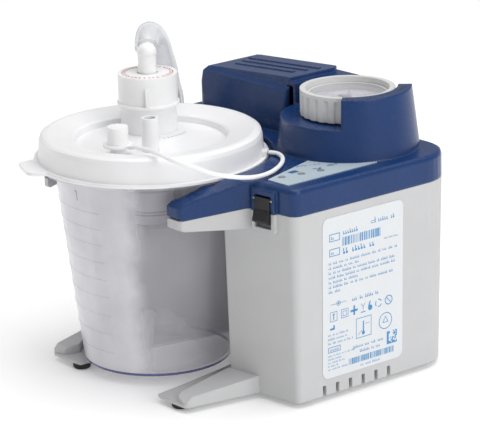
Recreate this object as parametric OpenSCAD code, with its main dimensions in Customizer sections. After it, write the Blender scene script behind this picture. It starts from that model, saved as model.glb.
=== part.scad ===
// Portable suction pump with a collection bottle that hangs in a coaxial recess.
// Working frame: X to the right, Y to the back, Z up, all places counted from the bottle's axis;
// the last step moves everything so that the origin is the middle of the footprint, on the ground.

/* [Bottle and lid] */
// Outer radius of the lid's flange
flange_r = 70; // [64:0.5:84]
// Outer radius of the bottle's wall just under the flange
bottle_top_r = 58.2; // [52:0.2:62]
// Outer radius of the bottle at its bottom
bottle_base_r = 44.9; // [38:0.2:52]
// Wall of the bottle
bottle_wall = 1.8; // [1.2:0.1:3]
// Air under the bottle's bottom
bottle_gap = 6.2; // [5:0.2:10]
// Height of the lid's crest above its flange
lid_rise = 14.8; // [12:0.2:20]
// Wall of the lid
lid_wall = 1.6; // [1.2:0.1:2.4]
// Outer radius of the open patient port
port_r = 5.1; // [4:0.1:6]
// Bore radius of the open patient port
port_bore_r = 3.6; // [2.5:0.1:4]
// Height of the patient port above the lid's dish
port_h = 20; // [14:0.5:28]
// Outer radius of the cartridge cap
cap_r = 18; // [16:0.5:20]

/* [Housing] */
// Height of the deck above the ground
deck_z = 133; // [125:1:160]
// Height of the seam between the two shells
seam_z = 117; // [110:1:121]
// Wall of both shells
wall = 2.5; // [2:0.1:3]
// Distance from the recess to the front right corner
side_w = 55.3; // [50:0.5:66]
// Distance from the recess to the back wall
rear_depth = 66.2; // [62:0.5:79]
// Width of the thin wall left of the recess
left_t = 5.5; // [5:0.1:8]
// Width of the ledge that carries the flange
ledge_w = 2.7; // [2:0.1:4]
// How far the side walls lean in towards the base
draft = 2.5; // [0:0.1:3]
// Reach of both arms in front of the bottle's axis
arm_reach = 35; // [28:0.5:44]
// Reach of both feet in front of the bottle's axis
foot_reach = 44; // [38:0.5:52]
// Height of the rubber pads
pad_h = 3.2; // [2:0.1:3.8]

/* [Tower, block and knob] */
// Base radius of the round tower
tower_r = 42.7; // [38:0.1:44]
// Height of the tower's low ledge above the deck
tower_ledge_h = 19; // [15:0.5:24]
// Height of the tower's shield above the deck
shield_h = 36.6; // [30:0.2:42]
// Outer radius of the knob
knob_r = 28.5; // [25:0.1:29]
// Height of the knob
knob_h = 15.4; // [12:0.2:19]
// Grip flutes round the knob
knob_flutes = 26; // [16:1:36]
// Height of the battery block above the deck at its left end
block_h = 29; // [22:0.5:38]

/* [Drive] */
// Radius of the motor's can
motor_r = 17; // [14:0.5:18]
// Length of the motor's can
motor_l = 50; // [40:1:54]
// Crank throw of the eccentric
throw = 2; // [1:0.1:2.4]
// Bore radius of the pump's cylinder
cyl_bore_r = 14.3; // [12:0.1:15]
// Running clearance on a radius
run = 0.05; // [0.02:0.01:0.1]
// Free clearance between pieces that only pass each other
gap = 0.4; // [0.3:0.05:0.6]

/* [Hidden] */
$fn = 96;
hull_fn = 32;
eps = 0.01;

// ---- levels and places that follow from the sizes above
base_z = pad_h;
floor_z = base_z + wall;
recess_r = flange_r - ledge_w;
flange_t = 1.8;
bottle_flange_t = 1.2;
ledge_z = deck_z - 4.2;
bottle_flange_z = ledge_z + 0.2;
flange_z = bottle_flange_z + bottle_flange_t + 0.2;
ledge_r = flange_r + 3;
dish_z = flange_z + flange_t + 7.8;
crest_z = flange_z + flange_t + lid_rise;
dish_r = recess_r - 22.3;
rim_r = flange_r - 5.8;
rim_z = flange_z + 11.6;
bottle_z = bottle_gap;

wall_front_x = recess_r + side_w;
bulge = 2.8;
wall_max_x = wall_front_x + bulge;
wall_left_x = -(recess_r + left_t);
wall_back_y = recess_r + rear_depth;
front_y = 5.5;
front_slope = 0.118;
front_in_x = recess_r - 20;
function front_face_y(x) = front_y - (wall_front_x - x) * front_slope;
latch_w = 17.6;
latch_stand = 2.6;
front_latch_x = wall_front_x - 22.1;
rear_latch_x = wall_front_x - 27.6;

tower = [wall_front_x - 51.6, wall_back_y - 39.5];
tower_ledge_z = deck_z + tower_ledge_h;
shield_z = deck_z + shield_h;
tower_lean = 0.123;
knob_z = tower_ledge_z + 1;
knob_top = knob_z + knob_h;
shield_half = 48;

tab_r = 6;
tab_reach = flange_r + 3.6;
tab_angles = [242, 255];
min_y = tab_reach * sin(tab_angles[1]) - tab_r;
max_y = wall_back_y + latch_stand + 2.9;
mid = [(wall_left_x + max([for (p = plan_points()) p.x])) / 2, (min_y + max_y) / 2];

cartridge = [-21.5, 16];
port = [17, -13.6];
spout = [11.4, -33.2];
barb = (ledge_r + 7.722) * unit([-54, 60]);
collar_r = cap_r - 1.2;
collar_z = dish_z + 16.3;
cap_z = collar_z + 0.3;
cap_top = cap_z + 18.7;

// The pump stands behind the motor in the right limb of the shell
crank = [wall_front_x - 25.6, wall_back_y - 46.5];
shaft_z = base_z + 38.8;
bearing_r = 6;
rod_ring_r = bearing_r + 2 * throw + gap;
shelf_z = shaft_z + rod_ring_r + 6;
cyl_top = shelf_z + 19;
plate_front_y = crank.y - 12;
plate_back_y = crank.y + 18;
plate_half = 19;

bosses = [[wall_front_x - 10.6, 16], [recess_r + 12.7, 13], [wall_front_x - 12.6, wall_back_y - 16.5],
          [wall_left_x + 13, wall_back_y - 17.5], [wall_left_x + 11, wall_back_y - 61.5]];
boss_head_z = seam_z - 17;
pads = [[recess_r + 1, 6 - foot_reach], [34 - recess_r + 7.3, 5 - foot_reach],
        [wall_front_x - 20, wall_back_y - 18], [wall_left_x + 20, wall_back_y - 18]];

leds = [[wall_front_x - 25.4, 18.5], [wall_front_x - 22.6, 31], [wall_front_x - 19.8, 43.5]];
led_r = 2;

// Centre lines of the free hose, the cap's tether and the inner tubes, with round points
hose_route = [[-24, 18.1, 189.5], [-29, 22.3, 193], [-34.5, 28.5, 194.8], [-40, 36.5, 191], [-44, 43, 184],
              [-47, 48, 175], [-50, 53, 165], [-53, 57, 155], [-54, 60, 146], [-54, 60, 137]];
tether_route = [[21.8, -32.5, 146.2], [28, -33, 148], [44, -35, 149.5], [60, -40, 151], [72, -40, 150],
                [81, -34, 147], [87, -24, 142], [91, -10, 138], [93, 3, 136], [90, 17, 135.5],
                [82, 31, 135.5], [72, 41, 135.5], [62, 46, 135], [55, 45.5, 134.5]];
vacuum_route = [[-54, 60, 122.5], [-54, 62, 116], [-46, 74, 106], [-25, 92, 100], [10, 100, 98], [44, 99, 98],
                [62, 95, 101], [71, 94, 108], [71, 94, 115.5]];
pump_route = [[86, 106, 127], [92, 110, 127], [99, 111, 122], [103, 106, 114], [104, 98, 107],
              [104, 92, 102], [104, 92, 95.5]];
exhaust_route = [[90, 92, 95.5], [90, 93, 101], [84, 101, 105], [74, 109, 101], [65, 112, 93],
                 [62, 112, 87], [62, 112, 81]];

// ---- outlines
function unit(v) = v / norm(v);

// Points of one corner p between a and b, rounded to radius r
function corner(a, p, b, r, n) =
    let (u = unit(a - p), v = unit(b - p), half = acos(u * v) / 2,
         c = p + unit(u + v) * r / sin(half), s = p + u * r / tan(half), e = p + v * r / tan(half),
         a0 = atan2(s.y - c.y, s.x - c.x), turn = (atan2(e.y - c.y, e.x - c.x) - a0 + 540) % 360 - 180)
    [for (i = [0:n]) c + r * [cos(a0 + turn * i / n), sin(a0 + turn * i / n)]];

// A closed outline from its corner points and their radii
function rounded(pts, radii, n = 8) =
    let (m = len(pts))
    [for (i = [0:m - 1]) each corner(pts[(i + m - 1) % m], pts[i], pts[(i + 1) % m], radii[i], n)];

// The housing's plan with all its walls moved in by inset
function plan_points(inset = 0) = rounded(
    [[wall_front_x - inset, front_face_y(wall_front_x) + inset], [wall_max_x - inset, wall_back_y - inset],
     [wall_left_x + inset, wall_back_y - inset], [wall_left_x + inset, 4 + inset],
     [front_in_x, front_face_y(front_in_x) + inset]],
    [max(6 - inset, 1), 25 - inset, 20 - inset, 3, 1]);

module plan(inset = 0) {
    polygon(plan_points(inset));
}

module slab(z, inset, t = 0.1) {
    translate([0, 0, z]) linear_extrude(t) plan(inset);
}

module rounded_box(size, r) {
    w = size.x / 2;
    d = size.y / 2;
    linear_extrude(size.z) polygon(rounded([[w, -d], [w, d], [-w, d], [-w, -d]], [r, r, r, r], 5));
}

module tube(r, bore, h) {
    difference() {
        cylinder(r = r, h = h);
        translate([0, 0, -eps]) cylinder(r = bore, h = h + 2 * eps);
    }
}

module at(p, z = 0) {
    translate([p.x, p.y, z]) children();
}

// Everything is drawn about the bottle's axis and then moved to the shared origin
module place() {
    translate([-mid.x, -mid.y, 0]) children();
}

module about_recess(r, z0, z1) {
    translate([0, 0, z0]) cylinder(r = r, h = z1 - z0, $fn = 144);
}

// ---- swept tubes
function blend(p0, p1, p2, p3, t) =
    0.5 * (2 * p1 + (p2 - p0) * t + (2 * p0 - 5 * p1 + 4 * p2 - p3) * t * t
           + (3 * p1 - 3 * p2 + p3 - p0) * t * t * t);

function smooth(pts, n) =
    let (m = len(pts))
    concat([for (i = [0:m - 2]) for (j = [0:n - 1])
                blend(pts[max(i - 1, 0)], pts[i], pts[i + 1], pts[min(i + 2, m - 1)], j / n)],
           [pts[m - 1]]);

function tangent(path, i) = unit(path[min(i + 1, len(path) - 1)] - path[max(i - 1, 0)]);

function ring(path, i, r, sides, ref) =
    let (t = tangent(path, i), side = unit(cross(t, ref)), up = cross(side, t))
    [for (k = [0:sides - 1]) path[i] + r * (cos(360 * k / sides) * side + sin(360 * k / sides) * up)];

// A tube along a path, solid or with a bore; ref is a direction that the path never runs along
module sweep(path, r, sides, ref, bore = 0) {
    n = len(path);
    m = n * sides;
    function skin(first, flip) =
        [for (i = [0:n - 2]) for (k = [0:sides - 1])
            let (a = first + i * sides + k, b = first + i * sides + (k + 1) % sides)
            flip ? [a, b, b + sides, a + sides] : [a, a + sides, b + sides, b]];
    function end_ring(at, flip) =
        [for (k = [0:sides - 1])
            let (a = at + k, b = at + (k + 1) % sides)
            flip ? [a, m + a, m + b, b] : [a, b, m + b, m + a]];
    polyhedron(
        points = concat([for (i = [0:n - 1]) each ring(path, i, r, sides, ref)],
                        bore > 0 ? [for (i = [0:n - 1]) each ring(path, i, bore, sides, ref)] : []),
        faces = bore > 0
            ? concat(skin(0, false), skin(m, true), end_ring(0, false), end_ring(m - sides, true))
            : concat([[for (k = [0:sides - 1]) k]], skin(0, false),
                     [[for (k = [sides - 1:-1:0]) m - sides + k]]));
}

// ---- lower shell
// The right foot from above; the left one is its mirror about foot_mirror_x
foot_mirror_x = 16;
foot_t = 2;
module foot_plan() {
    g = recess_r;
    polygon([[g - 33.3, g + 4.7], [g - 21.3, 12], [g - 17.3, -14], [g - 15.3, -28],
             [g - 13.8, 1 - foot_reach], [g - 10.3, -foot_reach], [g + 11.7, -foot_reach],
             [g + 13.2, 1 - foot_reach], [g + 23.1, 8], [g + 26, 38], [g + 12, g]]);
}

// Wedge-shaped rib along the outer side of a foot
module foot_rib() {
    g = recess_r;
    intersection() {
        translate([0, 0, base_z + 1]) linear_extrude(20)
            polygon([[g - 3.3, 30], [g - 2.3, 4], [g + 2, 6 - foot_reach], [g + 4, 2 - foot_reach],
                     [g + 11.7, -foot_reach], [g + 13.2, 1 - foot_reach], [g + 23.1, 8], [g + 24, 30]]);
        rotate([90, 0, 90]) linear_extrude(g + 60)
            polygon([[-foot_reach, base_z], [-foot_reach, base_z + 3], [-foot_reach + 4, base_z + 6.5],
                     [8, base_z + 11], [40, base_z + 11], [40, base_z]]);
    }
}

module foot() {
    translate([0, 0, base_z]) linear_extrude(foot_t) foot_plan();
    foot_rib();
}

module feet() {
    difference() {
        union() {
            foot();
            translate([2 * foot_mirror_x, 0, 0]) mirror([1, 0, 0]) foot();
        }
        about_recess(bottle_base_r + 4, base_z + foot_t, base_z + 40);
    }
}

// Outline of both arms from above; the recess is cut out afterwards
module arm_plans() {
    root_x = wall_front_x - 32;
    polygon([[recess_r - 12, 16], [root_x + 1, 16], [root_x, front_face_y(root_x)],
             [recess_r + 2, 1 - arm_reach], [recess_r - 0.5, -arm_reach], [recess_r - 20, -arm_reach]]);
    polygon([[wall_left_x, 26], [wall_left_x, 8], [-recess_r + 4.6, 1 - arm_reach],
             [-recess_r + 6.5, -arm_reach], [-recess_r + 20, -arm_reach], [-recess_r + 20, 26]]);
}

// Side outline of an arm, between two sloping lines given by their heights at root and tip
module arm_side(low_root, low_tip, high_root, high_tip, nose) {
    translate([-150, 0, 0]) rotate([90, 0, 90]) linear_extrude(300)
        polygon([[28, low_root], [-2, low_root], [-arm_reach + 2, low_tip], [-arm_reach, low_tip + 1.5],
                 [-arm_reach, high_tip - nose], [-arm_reach + nose, high_tip],
                 [-2, high_root], [28, high_root]]);
}

module lower_arms() {
    difference() {
        intersection() {
            translate([0, 0, 90]) linear_extrude(60) arm_plans();
            translate([-150, 0, 0]) rotate([90, 0, 90]) linear_extrude(300)
                polygon([[28, seam_z - 12.5], [8, seam_z - 12.5], [2 - arm_reach, seam_z - 11.5],
                         [-arm_reach, seam_z - 10], [-arm_reach, seam_z - 5], [2 - arm_reach, seam_z - 5],
                         [-2, seam_z], [28, seam_z]]);
        }
        about_recess(recess_r, 80, 160);
        difference() {
            translate([0, 0, 80]) linear_extrude(80) plan(wall + 0.2);
            about_recess(recess_r + wall, 70, 170);
        }
    }
}

// The latch frame's own axes: x along the face, -y outwards, z up from the ground
module front_latch_axes() {
    translate([front_latch_x, front_face_y(front_latch_x), 0]) rotate([0, 0, atan(front_slope)]) children();
}

module rear_latch_axes() {
    translate([rear_latch_x, wall_back_y, 0]) rotate([0, 0, 180]) children();
}

module latch_seat() {
    translate([-latch_w / 2, -latch_stand, seam_z - 11.6]) cube([latch_w, latch_stand + 1.5, 11.4]);
}

module latch_pocket() {
    translate([-6.2, -latch_stand - 1, seam_z - 9.4]) cube([12.4, latch_stand + 1.8, 19.4]);
}

module lower_shell() {
    difference() {
        hull() {
            slab(base_z, draft);
            slab(seam_z - 0.1, 0);
        }
        difference() {
            translate([0, 0, floor_z]) linear_extrude(seam_z) plan(wall + draft);
            about_recess(recess_r + wall, base_z, seam_z + 10);
        }
        difference() {
            translate([0, 0, seam_z - 4]) linear_extrude(10) plan(wall + 0.2);
            about_recess(recess_r + wall, base_z, seam_z + 10);
        }
        about_recess(recess_r, 0, seam_z + 10);
    }
}

module lower_bosses() {
    for (p = bosses) at(p, floor_z - eps) cylinder(r = 4.6, h = seam_z - 9 - floor_z);
}

module lower_boss_bores() {
    for (p = bosses) {
        at(p, base_z - 1) cylinder(r = 3.2, h = boss_head_z - base_z + 1);
        at(p, base_z) cylinder(r = 1.8, h = seam_z);
    }
}

module vent_slots() {
    for (i = [0:5]) translate([wall_front_x - 12, 26.4 + 10 * i, base_z - 1]) cube([20, 2.4, 7.4]);
}

module lower_housing() {
    place() color([0.79, 0.8, 0.81]) difference() {
        union() {
            lower_shell();
            lower_arms();
            feet();
            lower_bosses();
            front_latch_axes() latch_seat();
            rear_latch_axes() latch_seat();
        }
        front_latch_axes() latch_pocket();
        rear_latch_axes() latch_pocket();
        lower_boss_bores();
        vent_slots();
        // Openings for the low voltage inlet and the switch in the back wall
        translate([dc_at.x, wall_back_y - 10, dc_at.y]) rotate([-90, 0, 0])
            cylinder(r = dc_body_r + 0.2, h = 20);
        translate([switch_at.x - 9.6, wall_back_y - 10, switch_at.y - 6.1]) cube([19.2, 20, 12.2]);
    }
}

// ---- upper shell
module upper_shell() {
    difference() {
        union() {
            translate([0, 0, seam_z]) linear_extrude(deck_z - 2.5 - seam_z) plan();
            hull() {
                slab(deck_z - 2.6, 0);
                slab(deck_z - 0.9, 0.6);
                slab(deck_z - 0.1, 2.2);
            }
            difference() {
                translate([0, 0, seam_z - 3.6]) linear_extrude(4) plan(wall + 0.4);
                about_recess(recess_r + wall + 0.2, 0, seam_z + 10);
            }
        }
        upper_hollow();
    }
}

module upper_hollow() {
    difference() {
        translate([0, 0, seam_z - 5]) linear_extrude(deck_z - wall - seam_z + 5) plan(wall + 1.8);
        about_recess(recess_r + wall, seam_z - 10, deck_z);
        about_recess(ledge_r + wall, ledge_z - wall, deck_z);
    }
}

module upper_arms() {
    difference() {
        intersection() {
            translate([0, 0, 90]) linear_extrude(60) arm_plans();
            arm_side(seam_z, seam_z - 5, deck_z, seam_z + 5, 2.5);
        }
        upper_hollow();
    }
}

// The tower leans in by tower_lean for each millimetre of height
module tower_cone(inset, z0, z1) {
    at(tower, z0) cylinder(r1 = tower_r - inset - (z0 - deck_z) * tower_lean,
                           r2 = tower_r - inset - (z1 - deck_z) * tower_lean, h = z1 - z0, $fn = 144);
}

module shield() {
    difference() {
        intersection() {
            tower_cone(0, tower_ledge_z - 1, shield_z);
            at(tower, tower_ledge_z - 1) linear_extrude(40)
                polygon([[0, 0], 80 * [cos(shield_half), -sin(shield_half)], [80, 0],
                         80 * [cos(shield_half), sin(shield_half)]]);
        }
        at(tower, tower_ledge_z) cylinder(r = knob_r + 1.6, h = 60, $fn = 144);
    }
}

// Battery block: two side outlines crossed with its plan
module block_form(inset) {
    b = block_h - inset;
    x0 = wall_left_x + 17;
    y1 = wall_back_y - 6;
    intersection() {
        translate([0, 0, deck_z - 4]) linear_extrude(60)
            polygon(rounded([[x0 + inset, y1 - 45 + inset], [x0 + 40, y1 - 46.5 + inset],
                             [x0 + 83 - inset, y1 - 45 + inset], [x0 + 84 - inset, y1 - inset],
                             [x0 + inset, y1 - inset]], [6, 60, 5, 6, 10]));
        translate([0, 200, 0]) rotate([90, 0, 0]) linear_extrude(200)
            polygon([[x0 + inset, deck_z - 4], [x0 + 90, deck_z - 4], [x0 + 90, deck_z + b + 6],
                     [x0 + 6 + inset, deck_z + b], [x0 + 3.4 + inset, deck_z + b - 3]]);
        translate([-150, 0, 0]) rotate([90, 0, 90]) linear_extrude(300)
            polygon([[y1 - 47 + inset, deck_z - 4], [y1 - 43.4 + inset, deck_z + b - 2.6],
                     [y1 - 40.4 + inset, deck_z + b + 0.6], [y1 - 40.4 + inset, deck_z + b + 20],
                     [y1, deck_z + b + 20], [y1, deck_z - 4]]);
    }
}

// Low shoulder that carries the block round behind the knob
module shoulder_form(inset) {
    b = block_h + 3 - inset;
    x0 = wall_left_x + 96;
    y1 = wall_back_y - 6 - inset;
    translate([0, 0, deck_z - 4]) linear_extrude(b + 4)
        polygon(rounded([[x0, y1 - 41 + inset], [x0 + 40 - inset, y1 - 41 + inset], [x0 + 40 - inset, y1],
                         [x0, y1]], [2, 2, 12, 2]));
}

module knob_pocket(r, z) {
    at(tower, z) cylinder(r = r, h = 60, $fn = 144);
}

module raised_forms() {
    intersection() {
        union() {
            tower_cone(0, deck_z - 3, tower_ledge_z);
            shield();
            block_form(0);
            difference() {
                shoulder_form(0);
                knob_pocket(knob_r + 10.5, tower_ledge_z);
            }
        }
        translate([0, 0, seam_z]) linear_extrude(100) plan(2.2);
    }
}

module raised_hollows() {
    intersection() {
        union() {
            tower_cone(wall, deck_z - 5, tower_ledge_z - wall);
            difference() {
                block_form(wall);
                knob_pocket(knob_r + 10.5 + wall, tower_ledge_z - wall);
            }
            difference() {
                shoulder_form(wall);
                knob_pocket(knob_r + 10.5 + wall, tower_ledge_z - wall);
            }
        }
        translate([0, 0, deck_z - 6]) linear_extrude(100) plan(2.2 + wall);
    }
}

module latch_frame() {
    translate([-latch_w / 2, -latch_stand, seam_z]) cube([latch_w, latch_stand + 1.5, 13.4]);
}

module upper_bosses() {
    for (p = bosses) at(p, seam_z - 8.8) cylinder(r = 4.6, h = deck_z - wall + 0.5 - seam_z + 8.8);
}

latch_pin = [-1.9, seam_z + 7.5];
latch_pin_r = 0.9;

module pin_bore(r, half) {
    translate([-half, latch_pin[0], latch_pin[1]]) rotate([0, 90, 0])
        cylinder(r = r, h = 2 * half, $fn = 32);
}

module upper_housing() {
    place() color([0.11, 0.2, 0.4]) difference() {
        union() {
            upper_shell();
            upper_arms();
            raised_forms();
            upper_bosses();
            for (p = board_posts) at(p, board_z + 1.6)
                cylinder(r = 2.4, h = deck_z - wall + 0.5 - board_z - 1.6, $fn = 48);
            front_latch_axes() latch_frame();
            rear_latch_axes() latch_frame();
        }
        raised_hollows();
        about_recess(recess_r, 0, deck_z + 60);
        about_recess(ledge_r, ledge_z, deck_z + 1);
        front_latch_axes() latch_pocket();
        rear_latch_axes() latch_pocket();
        front_latch_axes() pin_bore(latch_pin_r + run, 7.4);
        rear_latch_axes() pin_bore(latch_pin_r + run, 7.4);
        for (p = bosses) at(p, seam_z - 9) cylinder(r = 1.55, h = 14);
        for (p = leds) at(p, deck_z - 10) cylinder(r = led_r + 0.3, h = 20);
        at(tower, tower_ledge_z - 10) cylinder(r = regulator_bore_r, h = 20);
        at(barb, deck_z - 10) cylinder(r = barb_r, h = 20);
    }
}

// ---- trim on the shells
module label_plate() {
    lean = atan(draft / (seam_z - base_z));
    turn = atan(bulge / (wall_back_y - front_y));
    place() color([0.93, 0.95, 0.96])
        translate([wall_front_x, front_y, seam_z]) rotate([0, 0, -turn]) rotate([0, lean, 0])
        translate([0.03, 51.5, -54.4]) rotate([90, 0, 90]) rounded_box([62, 98, 0.35], 4.3);
}

module control_panel() {
    place() color([0.7, 0.78, 0.83]) translate([0, 0, deck_z + 0.02]) linear_extrude(0.5) difference() {
        polygon(rounded([[wall_front_x - 27.2, 9.4], [wall_front_x - 10.2, 10], [wall_front_x - 9.8, 79],
                         [wall_front_x - 22, 79], [wall_front_x - 42, 56]], [1, 1, 1, 1, 1]));
        translate(tower) circle(r = tower_r + 0.8, $fn = 144);
        for (p = leds) translate(p) circle(r = led_r + 0.3, $fn = 32);
    }
}

module indicator_lights() {
    place() color([0.55, 0.57, 0.6]) for (p = leds) at(p, board_z + 1.6) {
        cylinder(r = led_r, h = deck_z + 0.8 - board_z - 1.6, $fn = 32);
    }
}

module rubber_feet() {
    place() color([0.08, 0.08, 0.08]) for (p = pads) at(p) {
        cylinder(r = 4.6, h = 0.8);
        translate([0, 0, 0.8]) cylinder(r = 5.4, h = pad_h - 0.8);
    }
}

module case_screws() {
    place() color([0.6, 0.6, 0.62]) for (p = bosses) at(p) {
        translate([0, 0, boss_head_z - 2.4]) cylinder(r = 2.8, h = 2.4, $fn = 32);
        translate([0, 0, boss_head_z - eps]) cylinder(r = 1.5, h = 20, $fn = 32);
    }
}

module latch_pins() {
    place() color([0.6, 0.6, 0.62]) {
        front_latch_axes() pin_bore(latch_pin_r, 7.3);
        rear_latch_axes() pin_bore(latch_pin_r, 7.3);
    }
}

module latch() {
    difference() {
        translate([-5.7, 0, 0]) rotate([90, 0, 90]) linear_extrude(11.4)
            polygon([[-3.2, seam_z + 8.9], [-0.7, seam_z + 8.9], [-0.7, seam_z + 2], [-1.2, seam_z - 6.4],
                     [-2.4, seam_z - 7.2], [-5.5, seam_z - 5.4], [-5.5, seam_z - 4.4], [-4, seam_z + 1.2],
                     [-3.2, seam_z + 1.6]]);
        pin_bore(latch_pin_r + run, 12);
    }
}

module front_latch() {
    place() color([0.06, 0.06, 0.07]) front_latch_axes() latch();
}

module rear_latch() {
    place() color([0.06, 0.06, 0.07]) rear_latch_axes() latch();
}

dc_at = [30, 30];
dc_body_r = 6;
module dc_inlet() {
    place() color([0.07, 0.07, 0.08]) translate([dc_at.x, wall_back_y, dc_at.y]) rotate([-90, 0, 0]) {
        difference() {
            union() {
                translate([0, 0, -14]) cylinder(r = dc_body_r, h = 14);
                cylinder(r = 8, h = 1.4);
            }
            translate([0, 0, -10]) cylinder(r = 2.8, h = 20);
        }
        translate([0, 0, -11]) cylinder(r = 1, h = 10, $fn = 32);
    }
}

switch_at = [-8, 30];
module switch_bezel() {
    place() color([0.07, 0.07, 0.08]) translate([switch_at.x, wall_back_y, switch_at.y]) difference() {
        union() {
            translate([0, 1.3, 0]) rotate([90, 0, 0]) rounded_box([22.4, 15, 1.3], 1.5);
            translate([-9.5, -12, -6]) cube([19, 12 + eps, 12]);
        }
        translate([-8.4, -11, -5.2]) cube([16.8, 20, 10.4]);
        translate([-9.2, rocker_pivot_y - wall_back_y, 0]) rotate([0, 90, 0])
            cylinder(r = rocker_pin_r + run, h = 18.4, $fn = 32);
    }
}

rocker_pivot_y = wall_back_y - 4;
rocker_pin_r = 1.2;
module power_rocker() {
    place() color([0.1, 0.1, 0.11])
        translate([switch_at.x, rocker_pivot_y, switch_at.y]) rotate([-7, 0, 0]) {
            translate([-8, 0, 0]) rotate([90, 0, 90]) linear_extrude(16)
                polygon([[-3, -2.5], [4.6, -4.2], [6.2, -4], [5.2, 0], [6.2, 4], [4.6, 4.2], [-3, 2.5]]);
            translate([-9, 0, 0]) rotate([0, 90, 0]) cylinder(r = rocker_pin_r, h = 18, $fn = 32);
        }
}

// ---- power and electronics
module battery_pack() {
    place() color([0.2, 0.22, 0.25]) translate([-5, wall_back_y - 37, floor_z])
        rounded_box([88, 36, 62], 3);
}

module battery_strap() {
    place() color([0.12, 0.12, 0.13]) translate([-5, wall_back_y - 37, 0]) difference() {
        translate([-8, -20, floor_z]) cube([16, 40, 64.5]);
        translate([-9, -18.3, floor_z - 1]) cube([18, 36.6, 63.3]);
    }
}

board_z = deck_z - 12;
board_posts = [[wall_front_x - 33, 17.5], [wall_front_x - 33, 52.5], [wall_front_x - 18.6, 52.5]];
module circuit_board() {
    place() color([0.1, 0.35, 0.2]) {
        difference() {
            translate([wall_front_x - 35.6, 14.5, board_z]) cube([19.5, 41, 1.6]);
            for (p = board_posts) at(p, board_z - 1) cylinder(r = 1.2, h = 4, $fn = 24);
        }
        translate([wall_front_x - 30, 38, board_z - 5.6]) cube([10, 10, 5.6]);
        translate([wall_front_x - 20, 26, board_z - 8.5]) cylinder(r = 3, h = 8.5, $fn = 32);
    }
}

// ---- pump
// The motor's axis, counted backwards from the bracket's front plate
module on_shaft(along) {
    translate([crank.x, plate_front_y + along, shaft_z]) rotate([-90, 0, 0]) children();
}

module pump_bracket() {
    foot_z = floor_z + 2.4;
    place() color([0.72, 0.74, 0.76]) difference() {
        union() {
            translate([crank.x - plate_half, plate_front_y - 8, foot_z]) cube([2 * plate_half, 44, 2]);
            for (y = [plate_front_y, plate_back_y]) translate([crank.x - plate_half, y, foot_z])
                cube([2 * plate_half, 2.4, shelf_z + 3 - foot_z]);
            translate([crank.x - plate_half, plate_front_y, shelf_z])
                cube([2 * plate_half, plate_back_y + 2.4 - plate_front_y, 3]);
        }
        at(crank, shelf_z - 1) cylinder(r = cyl_bore_r + 0.3, h = 6);
        on_shaft(-1) cylinder(r = 5.6, h = 5);
        for (p = bracket_feet) at(p, floor_z) cylinder(r = 2.2, h = 6, $fn = 32);
    }
}

bracket_feet = [for (sx = [-1, 1]) for (sy = [plate_front_y - 4.5, plate_back_y + 2.4 + 1.5 - 7.5])
                [crank.x + sx * (plate_half - 4), sy]];

module bracket_grommets() {
    place() color([0.1, 0.1, 0.1]) for (p = bracket_feet) at(p, floor_z) {
        tube(4.2, 1.6, 2.4);
        tube(2.15, 1.6, 4.4);
    }
}

module bracket_screws() {
    place() color([0.6, 0.6, 0.62]) for (p = bracket_feet) at(p, floor_z) {
        cylinder(r = 1.5, h = 4.5, $fn = 24);
        translate([0, 0, 4.45]) cylinder(r = 3, h = 1.8, $fn = 24);
    }
}

module motor_can() {
    place() color([0.62, 0.63, 0.65]) on_shaft(-motor_l)
        difference() {
            union() {
                translate([0, 0, 2]) cylinder(r = motor_r, h = motor_l - 2);
                translate([0, 0, motor_l - eps]) cylinder(r = 5.5, h = 2.2);
            }
            translate([0, 0, 1]) cylinder(r = motor_r - 1.4, h = motor_l - 3);
            cylinder(r = 2.05, h = motor_l + 9, $fn = 48);
        }
}

module motor_endcap() {
    place() color([0.15, 0.15, 0.16]) on_shaft(-motor_l)
        difference() {
            union() {
                translate([0, 0, -3]) cylinder(r = motor_r - 1.6, h = 9);
                translate([0, 0, -3]) cylinder(r = motor_r, h = 4.9);
                for (s = [-8, 8]) translate([s - 1.5, -4, -7]) cube([3, 0.8, 5]);
            }
            translate([0, 0, -1]) cylinder(r = 2.05, h = 20, $fn = 48);
        }
}

shaft_r = 2;
module motor_shaft() {
    // Rotor, shaft and the eccentric pressed on its end turn as one piece
    place() color([0.75, 0.75, 0.77]) on_shaft(-motor_l) {
        cylinder(r = shaft_r, h = motor_l + 21, $fn = 48);
        translate([0, 0, 9]) cylinder(r = motor_r - 2.2, h = motor_l - 14);
        translate([0, -throw, motor_l + 7.5]) cylinder(r = 4.4, h = 9);
    }
}

module counterweight() {
    place() color([0.55, 0.5, 0.35]) on_shaft(3.4) difference() {
        intersection() {
            cylinder(r = 9.5, h = 3.4);
            translate([-10, -2.6, 0]) cube([20, 14, 4]);
        }
        translate([0, 0, -1]) cylinder(r = shaft_r, h = 6, $fn = 48);
    }
}

module crank_bearing() {
    place() color([0.8, 0.8, 0.82]) on_shaft(8.2)
        translate([0, -throw, 0]) tube(bearing_r, 4.4, 7.4);
}

rod_ring_out = rod_ring_r + 2.4;
piston_z = shelf_z + 11;
module piston_rod() {
    place() color([0.85, 0.85, 0.83]) {
        translate([crank.x, crank.y - 3, shaft_z]) rotate([-90, 0, 0]) tube(rod_ring_out, rod_ring_r, 6);
        translate([crank.x - 3, crank.y - 2.5, shaft_z + rod_ring_out - 0.8])
            cube([6, 5, piston_z - shaft_z - rod_ring_out + 0.8]);
        at(crank, piston_z - 2) cylinder(r = 9, h = 2);
    }
}

module piston_cup() {
    place() color([0.15, 0.15, 0.16]) at(crank, piston_z) cylinder(r = cyl_bore_r - run, h = 2.6);
}

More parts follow.
